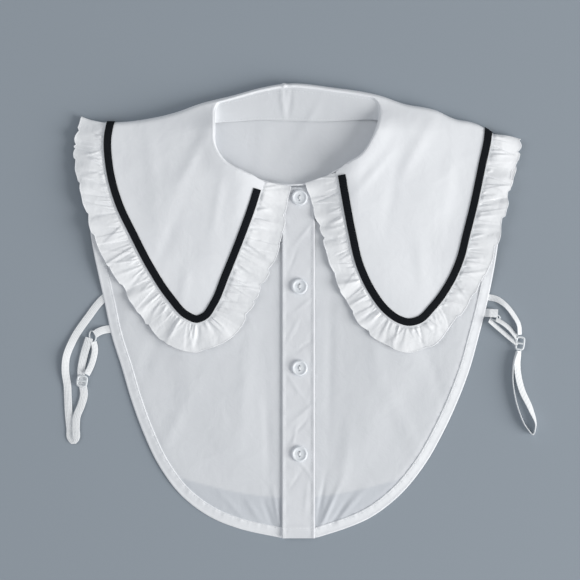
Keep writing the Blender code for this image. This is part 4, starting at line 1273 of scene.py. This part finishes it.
def make_stand(sections=220, columns=16):
    """The stand goes round the neck: upright at the sides, laid back behind."""
    share = np.linspace(0.0, 1.0, sections)
    rows = spline(STAND)(share)
    upper = rows[:, :2].copy()
    upper[:, 1] += (FOLD_HALF - FOLD_DEPTH) * smooth(upper[:, 1], *STAND_SHIFT_FADE)
    upper[:, 1] = np.minimum(upper[:, 1], fold_y(upper[:, 0]) - FOLD_DEPTH + STAND_PAST_FOLD)
    head = np.column_stack((upper, leaf_top(*upper.T) - STAND_UNDER_CURL * NECK_CURL))
    lower = rows[:, 2:4]
    layers = rows[:, 4]
    on_back = BACK_LIFT + STEP
    level = np.where(layers < 0.5, on_back, np.maximum(front_height(*lower.T), on_back))
    foot = np.column_stack((lower, level + layers * STEP + SOLID_CLOTH))
    rise = np.linspace(0.0, 1.0, columns)[None, :, None]
    outer = foot[:, None] + (head - foot)[:, None] * rise
    normals = facing_up(outer)
    creases = ridges(BACK_CREASES, outer[..., 0], outer[..., 1])[..., None]
    outer = outer + normals * (np.sin(math.pi * rise) * STAND_BOW + creases)
    # The stand is drawn in the darker poplin: painted shade inside the neck.
    piece = cloth_mesh("stand_cloth", outer, outer - normals * CLOTH, POPLIN_SHADED)
    seam = (share > STAND_SEAM[0]) & (share < STAND_SEAM[1])
    lines = [outer[seam, row] + normals[seam, row] * STITCH_LIFTS["stand"] for row in (1, -3)]
    stitches = add_stitches("stand_stitches", lines)
    rim = head - (0.0, 0.0, NECK_ROLL_DROP)
    across = np.linspace(rim[-1], rim[0], 16)[1:-1]
    across[:, 2] += NECK_ROLL_FRONT_RISE * np.sin(np.linspace(0.0, math.pi, 14))
    roll = add_roll("neck_roll", np.vstack((rim, across, rim[:1])), NECK_ROLL_RADIUS, POPLIN, 10)
    declare_cloth(piece, "stand",
                  [stitches, roll])


def neck_places(side, along):
    """Return places on the neck edge of one side, from 0 at centre front to 1 at centre back."""
    rows = STAND[:STAND_CENTRE_BACK + 1] if side == 0 else STAND[:STAND_CENTRE_BACK - 1:-1]
    places = spline([row[:2] for row in rows])(along)
    places[:, 1] = np.minimum(places[:, 1], fold_y(places[:, 0]) - FOLD_HALF)
    return places


def seam_ways(side, share):
    """Return places on the seam and the direction out of the leaf, on the flat pattern."""
    rows = LEAF_CURVES[side](share)
    way = plan_ways(LEAF_CURVES[side], share, SEAM_WAY)
    outward = np.stack((-way[:, 1], way[:, 0]), axis=1)
    flip = np.sign(((rows[:, 2:4] - rows[:, :2]) * outward).sum(1, keepdims=True))
    return rows[:, :2], outward * flip


def even_shares(side, count):
    """Return shares of the seam that lie evenly along its length, and that length."""
    shares = np.linspace(0.0, 1.0, 1200)
    travelled = path_lengths(LEAF_CURVES[side](shares)[:, :2], 0)
    return np.interp(np.linspace(0.0, travelled[-1], count), travelled, shares), travelled[-1]


def reach_to_neck(seam, count):
    """Return how far the first sections of a seam are moved so that its end meets the neck edge."""
    fade = 1.0 - smooth(np.arange(len(seam)), 0, count)
    return NECK_END_STRETCH * fade[:, None] * unit(seam[0] - seam[count // 2])


def end_at_centre_back(side, *grids):
    """Set the last section of each grid on its side of the centre back seam."""
    for grid in grids:
        grid[-1, :, 0] = CENTRE_BACK_X + (CENTRE_BACK_HALF_GAP if side else -CENTRE_BACK_HALF_GAP)


def leaf_lift(grid):
    """Return how much small creases lift the upper side of a leaf."""
    return ridges(LEAF_CREASES, grid[..., 0], grid[..., 1]) * smooth(grid[..., 2], *CREASES_ABOVE)


def leaf_columns(neck, run, columns, samples=130):
    """Return shares of the way from the neck edge to the seam, closer where the leaf turns."""
    even = np.linspace(0.0, 1.0, samples)
    steps = np.diff(leaf_point(neck[:, None] + run * even[None, :, None]), axis=1)
    lengths = np.maximum(np.linalg.norm(steps, axis=2), 1e-9)
    turns = np.linalg.norm(np.diff(steps / lengths[..., None], axis=1), axis=2)
    effort = lengths + TURN_EFFORT * np.pad(turns, ((0, 0), (1, 0)))
    travelled = np.pad(np.cumsum(effort, axis=1), ((0, 0), (1, 0)))
    curled = np.linspace(0.0, CURL_SHARE, CURL_COLUMNS, endpoint=False)
    wanted = np.concatenate((curled, np.linspace(CURL_SHARE, 1.0, columns - CURL_COLUMNS)))
    return np.array([np.interp(path[-1] * wanted, path, even) for path in travelled])


def make_leaf(side, word, sections=210, columns=72):
    """One leaf runs from centre front over the shoulder to centre back."""
    share = even_shares(side, sections)[0]
    here = seam_ways(side, share)[0]
    here = here + reach_to_neck(here, NECK_END_SECTIONS[0])
    neck = neck_places(side, LEAF_CURVES[side](share)[:, 4])
    run = (here - neck)[:, None]
    flat = neck[:, None] + run * leaf_columns(neck, run, columns)[..., None]
    outer = leaf_point(flat)
    turn = np.clip(1.0 - path_lengths(outer, 1) / NECK_CURL, 0.0, STEEPEST_CURL)
    outer[..., 2] -= NECK_CURL * (1.0 - np.sqrt(1.0 - turn * turn))
    normals = facing_out(outer)
    outer = outer + normals * leaf_lift(outer)[..., None]
    inner = outer - normals * CLOTH
    end_at_centre_back(side, outer, inner)
    piece = cloth_mesh("leaf_cloth_" + word, outer, inner, POPLIN)
    row = outer[:, CURL_COLUMNS] + normals[:, CURL_COLUMNS] * STITCH_LIFTS["leaf"]
    sewn = flat[:, CURL_COLUMNS]
    upper_side = sewn[:, 1] < fold_y(sewn[:, 0]) - FOLD_HALF - 1.0
    stitches = add_stitches("leaf_neck_stitches_" + word, [row[upper_side]])
    declare_cloth(piece, "leaf_" + word,
                  [stitches, make_ribbon(side, word)])


def make_ribbon(side, word, sections=420, columns=9):
    """A ribbon is sewn on the leaf, a narrow strip of cloth inside the ruffle's seam."""
    share = even_shares(side, sections)[0][RIBBON_SKIPS[side]:]
    here, outward = seam_ways(side, share)
    across = np.linspace(0.0, 1.0, columns)[None, :, None]
    place = leaf_point(here[:, None] - outward[:, None] * (RIBBON_INSET + RIBBON_WIDTH * across))
    normals = facing_out(place)
    inner = place + normals * (leaf_lift(place)[..., None] + RIBBON_LIFT)
    outer = inner + normals * (RIBBON_CLOTH + RIBBON_CROWN * np.sin(math.pi * across))
    end_at_centre_back(side, outer, inner)
    piece = cloth_mesh("ribbon_cloth_" + word, outer, inner, GROSGRAIN)
    return belong(piece, "ribbon", "ribbon_" + word)


def gather_folds(side, length):
    """Return a row for each fold of a ruffle: place, lean, reach, width, height, sharp side."""
    chance = np.random.default_rng(GATHER_SEED + side)
    count = int(length / GATHER_PITCH * FOLDS_PER_GATHER)
    place = (np.arange(count) + chance.uniform(-FOLD_JITTER, FOLD_JITTER, count)) * length / count
    lean = chance.normal(0.0, FOLD_LEAN, count)
    reach = chance.uniform(*FOLD_REACHES, count) ** FOLD_REACH_POWER
    width = chance.uniform(*FOLD_WIDTHS, count)
    height = chance.uniform(*FOLD_HEIGHTS, count) * chance.choice(FOLD_SIGNS, count)
    sharp = chance.choice(FOLD_SHARP_SIDES, count)
    return np.column_stack((place, lean, reach, width, height, sharp))


def gathered(along, reach, folds):
    """Return the height of a ruffle's folds, at places given along the seam and away from it."""
    height = np.zeros((len(along), len(reach)))
    starting = 1.0 - np.exp(-((reach / FOLD_START) ** 2))
    for place, lean, length, width, rise, sharp in folds:
        near = np.abs(along - place) < FOLD_NEIGHBOURHOOD
        away = along[near, None] - place - lean * reach
        spread = width * (FOLD_WIDENING[0] + FOLD_WIDENING[1] * reach)
        if sharp:
            fold = smooth(sharp * away / spread, -FOLD_SHARPNESS, FOLD_SHARPNESS)
            fold *= np.exp(-np.maximum(sharp * away, 0.0) / FOLD_TAIL)
        else:
            fold = np.exp(-((away / spread) ** 2))
        height[near] += rise * fold * starting * np.exp(-((reach / length) ** 4))
    return height


def free_edge_waves(along, side):
    """Return the slow waves of a ruffle's free edge, from -1 to 1."""
    chance = np.random.default_rng(WAVE_SEED + side)
    waves = np.zeros(len(along))
    for wave_length in WAVE_LENGTHS:
        drift = WAVE_DRIFT * np.sin(along / wave_length * 1.1 + chance.uniform(0.0, 6.0))
        waves += np.sin(2 * math.pi * along / wave_length + chance.uniform(0.0, 6.0) + drift)
    return waves / len(WAVE_LENGTHS)


def edge_notches(along, edge, side):
    """Return how far the free edge steps in at the notches that the photo shows."""
    steps = np.zeros(len(along))
    for leaf, x, y, depth, lobe in EDGE_NOTCHES:
        if leaf == side:
            away = along - along[np.argmin(np.hypot(edge[:, 0] - x, edge[:, 1] - y))]
            before = np.clip(1.0 + away / NOTCH_STEP, 0.0, 1.0)
            after = np.clip(1.0 - away / lobe, 0.0, 1.0) ** 3
            steps += depth * np.where(away < 0.0, before, after)
    return steps


def edge_steps(along, side, length):
    """Return how far the free edge steps in where one lobe of the ruffle lies over the next."""
    chance = np.random.default_rng(LOBE_SEED + side)
    steps = np.zeros(len(along))
    place = FIRST_LOBE
    while place < length:
        lobe = chance.uniform(*LOBE_LENGTHS)
        depth = chance.uniform(*LOBE_DEPTHS)
        share = (along - place) / lobe
        past = (share - 1.0) * lobe / LOBE_STEP
        steps += np.where((share >= 0.0) & (share < 1.0), depth * share ** 3, 0.0)
        steps += np.where((past >= 0.0) & (past < 1.0), depth * (1.0 - past), 0.0)
        place += lobe
    return steps


def make_ruffle(side, word, columns=26):
    """A gathered ruffle: folds fan out from the seam and fade into a wavy, rolled edge."""
    length = even_shares(side, 2)[1]
    sections = int(length / RUFFLE_SECTION)
    share = even_shares(side, sections)[0]
    along = np.linspace(0.0, length, sections)
    here, outward = seam_ways(side, share)
    stretch = reach_to_neck(here, NECK_END_SECTIONS[1])
    start = here - outward * TUCK_UNDER_LEAF + stretch
    edge = LEAF_CURVES[side](share)[:, 2:4] + stretch
    waves = free_edge_waves(along, side)
    steps = edge_steps(along, side, length) + edge_notches(along, edge, side)
    edge = edge + outward * (WAVE_IN * waves - steps)[:, None]
    reach = np.linspace(0.0, 1.0, columns)
    flat = start[:, None] + (edge - start)[:, None] * reach[None, :, None]
    fold_knot = LEAF_CURVES[side].knots[FOLD_ROWS[side]]
    over = 1.0 - smooth(share, fold_knot + OVER_FADE[0], fold_knot + OVER_FADE[1])[:, None]
    outside = np.clip((reach - TUCKED_SHARE) / (1.0 - TUCKED_SHARE), 0.0, 1.0)
    relief = FOLD_RELIEF * gathered(along, outside, gather_folds(side, length))
    relief += WAVE_UP * (waves[:, None] + 1.0) * outside ** 1.3
    puff = RUFFLE_PUFF * np.sin(math.pi * outside ** 0.6)
    settle = RUFFLE_SETTLE + over * RUFFLE_SETTLE_OVER[side] * smooth(outside, *RUFFLE_SETTLE_FADE)
    lift = relief * (RELIEF_UNDER + (1.0 - RELIEF_UNDER) * over)
    lift += puff * (PUFF_UNDER + (1.0 - PUFF_UNDER) * over) - settle
    place = leaf_point(flat)
    normals = facing_out(place)
    outer = place + normals * np.maximum(lift, LOWEST_LIFT)[..., None]
    own = grid_normals(outer)
    own *= np.sign((own * normals).sum(-1, keepdims=True))
    inner = outer - own * CLOTH
    lowest = np.minimum(outer[..., 2], inner[..., 2])
    rise = np.maximum(0.0, FLOOR_GAP - lowest)[..., None] * (0.0, 0.0, 1.0)
    outer = outer + rise
    inner = inner + rise
    end_at_centre_back(side, outer, inner)
    # The ruffle's lighter poplin is painted light.
    piece = cloth_mesh("ruffle_cloth_" + word, outer, inner, POPLIN_RUFFLE)
    line = (outer[:, -1] + inner[:, -1]) / 2
    line[:, 2] = np.maximum(line[:, 2], EDGE_ROLL)
    roll = add_roll("ruffle_roll_" + word, line, EDGE_ROLL, POPLIN_RUFFLE, 6)
    declare_cloth(piece,
                  "ruffle_" + word, [roll])


def strap_grids(rows, width, sections, columns=7):
    """Return outer and inner points of a flat elastic strap that bends and rolls on edge."""
    curve = spline(rows)
    share = np.linspace(0.0, 1.0, sections)
    values = curve(share)
    centre = values[:, :3].copy()
    before = centre - curve(np.maximum(share - STRAP_WAY, 0.0))[:, :3]
    after = curve(np.minimum(share + STRAP_WAY, 1.0))[:, :3] - centre
    turning = (before[:, :2] * after[:, :2]).sum(1) < 0
    plan_way = np.where(turning[:, None], before - after, before + after)[:, :2]
    side = unit(np.column_stack((-plan_way[:, 1], plan_way[:, 0], np.zeros(sections))))
    for step in range(1, sections):
        if np.dot(side[step], side[step - 1]) < 0:
            side[step] = -side[step]
    face = np.cross(unit(before + after), side)
    lean = np.radians(values[:, 3])[:, None]
    across = side * np.cos(lean) + face * np.sin(lean)
    face = face * np.cos(lean) - side * np.sin(lean)
    half = width / 2
    low = half * np.abs(np.sin(lean[:, 0])) + ELASTIC_CLOTH / 2 * np.abs(np.cos(lean[:, 0]))
    centre[:, 2] = np.maximum(centre[:, 2], low)
    reach = np.linspace(-half, half, columns)[None, :, None]
    crown = (0.5 - STRAP_EDGE_THINNING * (np.abs(reach) / half) ** 3) * ELASTIC_CLOTH
    middle = centre[:, None] + across[:, None] * reach
    return middle + face[:, None] * crown, middle - face[:, None] * crown


def make_straps():
    """Flat straps and tabs of braided elastic on both sides."""
    for name, rows, sections, width, node in STRAPS:
        outer, inner = strap_grids(rows, width, sections)
        belong(cloth_mesh(name, outer, inner, ELASTIC), "elastic", node)


def tube_loop(x, y, z, length, width, degrees, squareness, count=40):
    """Return a closed loop of points: an oval, or a rectangle with round corners."""
    t = np.linspace(0.0, 2 * math.pi, count, endpoint=False)
    along = np.sign(np.cos(t)) * np.abs(np.cos(t)) ** squareness * length / 2
    aside = np.sign(np.sin(t)) * np.abs(np.sin(t)) ** squareness * width / 2
    turn = math.radians(degrees)
    return np.column_stack((x + along * math.cos(turn) - aside * math.sin(turn),
                            y + along * math.sin(turn) + aside * math.cos(turn),
                            np.full(count, z)))


def round_tube(points, radius, closed, sides=10):
    """Return vertices and faces of a round tube along points, in millimetres."""
    count = len(points)
    ahead = np.roll(points, -1, axis=0) - np.roll(points, 1, axis=0)
    if not closed:
        ahead[0] = points[1] - points[0]
        ahead[-1] = points[-1] - points[-2]
    up = np.array((0.0, 0.0, 1.0))
    side = unit(np.cross(unit(ahead), up))
    t = np.linspace(0.0, 2 * math.pi, sides, endpoint=False)[None, :, None]
    verts = (points[:, None] + (side[:, None] * np.cos(t) + up * np.sin(t)) * radius).reshape(-1, 3)
    faces = []
    last = count if closed else count - 1
    for step in range(last):
        here = step * sides
        there = (step + 1) % count * sides
        for corner in range(sides):
            following = (corner + 1) % sides
            faces.append((here + corner, here + following, there + following, there + corner))
    if not closed:
        faces.append(tuple(range(sides))[::-1])
        faces.append(tuple(range((count - 1) * sides, count * sides)))
    return verts, faces


def tubes_piece(name, tubes, material, slot, *nodes):
    """Join round tubes into one piece."""
    verts = []
    faces = []
    for points, radius, closed in tubes:
        more, joined = round_tube(points, radius, closed)
        faces.extend(tuple(len(verts) + corner for corner in face) for face in joined)
        verts.extend(more.tolist())
    mesh = bpy.data.meshes.new(name)
    mesh.from_pydata((np.array(verts) * MM).tolist(), [], faces)
    turn_outwards(mesh)
    return belong(finish_mesh(name, mesh, material), slot, *nodes)


def make_fittings():
    """Each side has an oval ring and a slider with a middle bar, moulded in nylon."""
    for node, x, y, z, length, width, degrees, squareness, radius in FITTINGS:
        tubes = [(tube_loop(x, y, z, length, width, degrees, squareness), radius, True)]
        if node.startswith("slider"):
            turn = math.radians(degrees)
            reach = np.linspace(-width / 2, width / 2, 5)
            bar = np.column_stack((x - reach * math.sin(turn), y + reach * math.cos(turn),
                                   np.full(5, z + SLIDER_BAR_LIFT)))
            tubes.append((bar, SLIDER_BAR_RADIUS, False))
        tubes_piece(node + "_moulding", tubes, NYLON, "fitting", node)


def button_mesh(name, centre, segments=48):
    """A button turned from its profile, still without thread holes."""
    radius = BUTTON_DIAMETER / 2
    points = [(radius * share, BUTTON_HEIGHT * level) for share, level in BUTTON_PROFILE]
    points += [(radius - BUTTON_RIM - inset, BUTTON_HEIGHT - drop) for inset, drop in BUTTON_STEP]
    points.append((0.0, BUTTON_HEIGHT - BUTTON_DISH))
    work = bmesh.new()
    chain = [work.verts.new((px * MM, 0.0, pz * MM)) for px, pz in points]
    edges = [work.edges.new(pair) for pair in zip(chain, chain[1:])]
    bmesh.ops.spin(work, geom=chain + edges, cent=(0, 0, 0), axis=(0, 0, 1),
                   angle=2 * math.pi, steps=segments, use_duplicate=False)
    bmesh.ops.remove_doubles(work, verts=work.verts, dist=0.00001)
    bmesh.ops.recalc_face_normals(work, faces=work.faces)
    bmesh.ops.translate(work, verts=work.verts, vec=Vector(centre) * MM)
    return mesh_from(work, name)


def cut_thread_holes(piece, centre):
    """Bore the two thread holes and keep the result as a plain mesh."""
    cutters = []
    radius = THREAD_HOLE / 2 * MM
    for row in (-1, 1):
        work = bmesh.new()
        bmesh.ops.create_cone(work, cap_ends=True, segments=20, radius1=radius, radius2=radius,
                              depth=4 * BUTTON_HEIGHT * MM)
        place = Vector(centre) + Vector((0.0, row * THREAD_HOLE_SPACING / 2, 0.0))
        bmesh.ops.translate(work, verts=work.verts, vec=place * MM)
        cutters.append(add_object("thread_hole", mesh_from(work, "thread_hole")))
        bore = piece.modifiers.new("bore", "BOOLEAN")
        bore.operation = "DIFFERENCE"
        bore.object = cutters[-1]
    graph = bpy.context.evaluated_depsgraph_get()
    cut = bpy.data.meshes.new_from_object(piece.evaluated_get(graph))
    piece.modifiers.clear()
    piece.data = cut
    for cutter in cutters:
        bpy.data.objects.remove(cutter, do_unlink=True)


def make_buttons():
    """Four buttons, each sewn on with strands of thread between its two holes."""
    for number, y in enumerate(BUTTON_YS, 1):
        node = f"button_{number}"
        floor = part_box(node)[0].z / MM - BUTTON_SUNK
        centre = (BUTTON_X, y, floor)
        piece = finish_mesh(node + "_pearl", button_mesh(node, centre), PEARL, BUTTON_SHARP)
        cut_thread_holes(piece, centre)
        piece.data.shade_smooth()
        piece.data.set_sharp_from_angle(angle=math.radians(BUTTON_SHARP))
        belong(piece, "button", node)
        strands = []
        t = np.linspace(-1.0, 1.0, 13)
        height = floor + BUTTON_HEIGHT - BUTTON_DISH + STRAND_LIFT - STRAND_PLUNGE * np.abs(t) ** 6
        for offset in STRANDS:
            lift = MIDDLE_STRAND_LIFT if offset == 0.0 else 0.0
            strand = np.column_stack((np.full(13, BUTTON_X + offset), y + t * THREAD_HOLE_SPACING / 2,
                                      height + lift))
            strands.append((strand, STRAND_RADIUS, False))
        tubes_piece(node + "_thread", strands, THREADS, "poplin")


def add_area_light(name, place, size, power, colour):
    """A soft light that looks at the middle of the collar."""
    data = bpy.data.lights.new(name, "AREA")
    data.shape = "DISK"
    data.size = size
    data.energy = power
    data.color = srgb(colour)[:3]
    light = add_object(name, data)
    light.location = place
    light.rotation_euler = (-Vector(place)).to_track_quat("-Z", "Y").to_euler()


def make_studio():
    """A plain pale floor, soft light from the right, and a camera straight above."""
    work = bmesh.new()
    bmesh.ops.create_grid(work, x_segments=1, y_segments=1, size=FLOOR_HALF_WIDTH)
    floor = add_object("floor", mesh_from(work, "floor"))
    floor.location.z = FLOOR_Z
    floor.data.materials.append(PAPER)
    world = bpy.data.worlds.new("studio")
    world.use_nodes = True
    back = world.node_tree.nodes["Background"]
    back.inputs["Color"].default_value = srgb(SKY_COLOUR)
    back.inputs["Strength"].default_value = SKY_STRENGTH
    bpy.context.scene.world = world
    for light in LIGHTS:
        add_area_light(*light)
    camera = bpy.data.cameras.new("camera")
    camera.lens = CAMERA_LENS
    camera.sensor_width = CAMERA_SENSOR
    camera.clip_end = 20.0
    holder = add_object("camera", camera)
    height = FIELD * CAMERA_LENS / CAMERA_SENSOR
    holder.location = (CAMERA_X * MM, CAMERA_Y * MM, height * MM)
    bpy.context.scene.camera = holder
    bpy.context.scene.view_settings.view_transform = "Standard"


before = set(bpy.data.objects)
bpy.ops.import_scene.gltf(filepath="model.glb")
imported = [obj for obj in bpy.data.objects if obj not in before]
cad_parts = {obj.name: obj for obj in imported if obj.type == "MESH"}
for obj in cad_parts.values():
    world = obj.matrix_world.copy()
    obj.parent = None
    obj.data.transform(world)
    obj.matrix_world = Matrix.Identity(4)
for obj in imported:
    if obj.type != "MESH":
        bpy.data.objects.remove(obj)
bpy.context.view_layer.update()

POPLIN = poplin_material("white_cotton_poplin", "#F6F8FB", "#F1F3F7")
# The placket's poplin is a little darker than the leaves': painted shade.
POPLIN_PLACKET = poplin_material("white_cotton_poplin_placket_painted_shade", "#ECEEF2", "#E7E9ED")
# A darker copy of the same poplin: painted shade for the cloth inside the neck, the back panel and the
# stand.
POPLIN_SHADED = poplin_material("white_cotton_poplin_painted_shade", "#E8EAEE", "#E2E5E9")
# The ruffles' poplin is lighter than the leaves': painted light; its finer crumple is a bump.
POPLIN_RUFFLE = poplin_material("white_cotton_poplin_gathered_painted_light", "#F9FAFC", "#F4F6F9",
                                crumple_scale=105.0, crumple=0.6)
POPLIN_FRONT = poplin_material("sheer_white_cotton_poplin", "#E8EAEE", "#E2E5E9", "#D6DAE0")
GROSGRAIN = grosgrain_material()
ELASTIC = elastic_material()
PEARL = button_material()
NYLON = nylon_material()
THREADS = thread_material()
PAPER = floor_material()
STITCHES = stitch_tree()
ROLLS = roll_tree()

make_studio()
make_back()
make_fronts()
make_placket()
make_stand()
for leaf_side, leaf_word in enumerate(SIDES):
    make_leaf(leaf_side, leaf_word)
    make_ruffle(leaf_side, leaf_word)
make_buttons()
make_straps()
make_fittings()
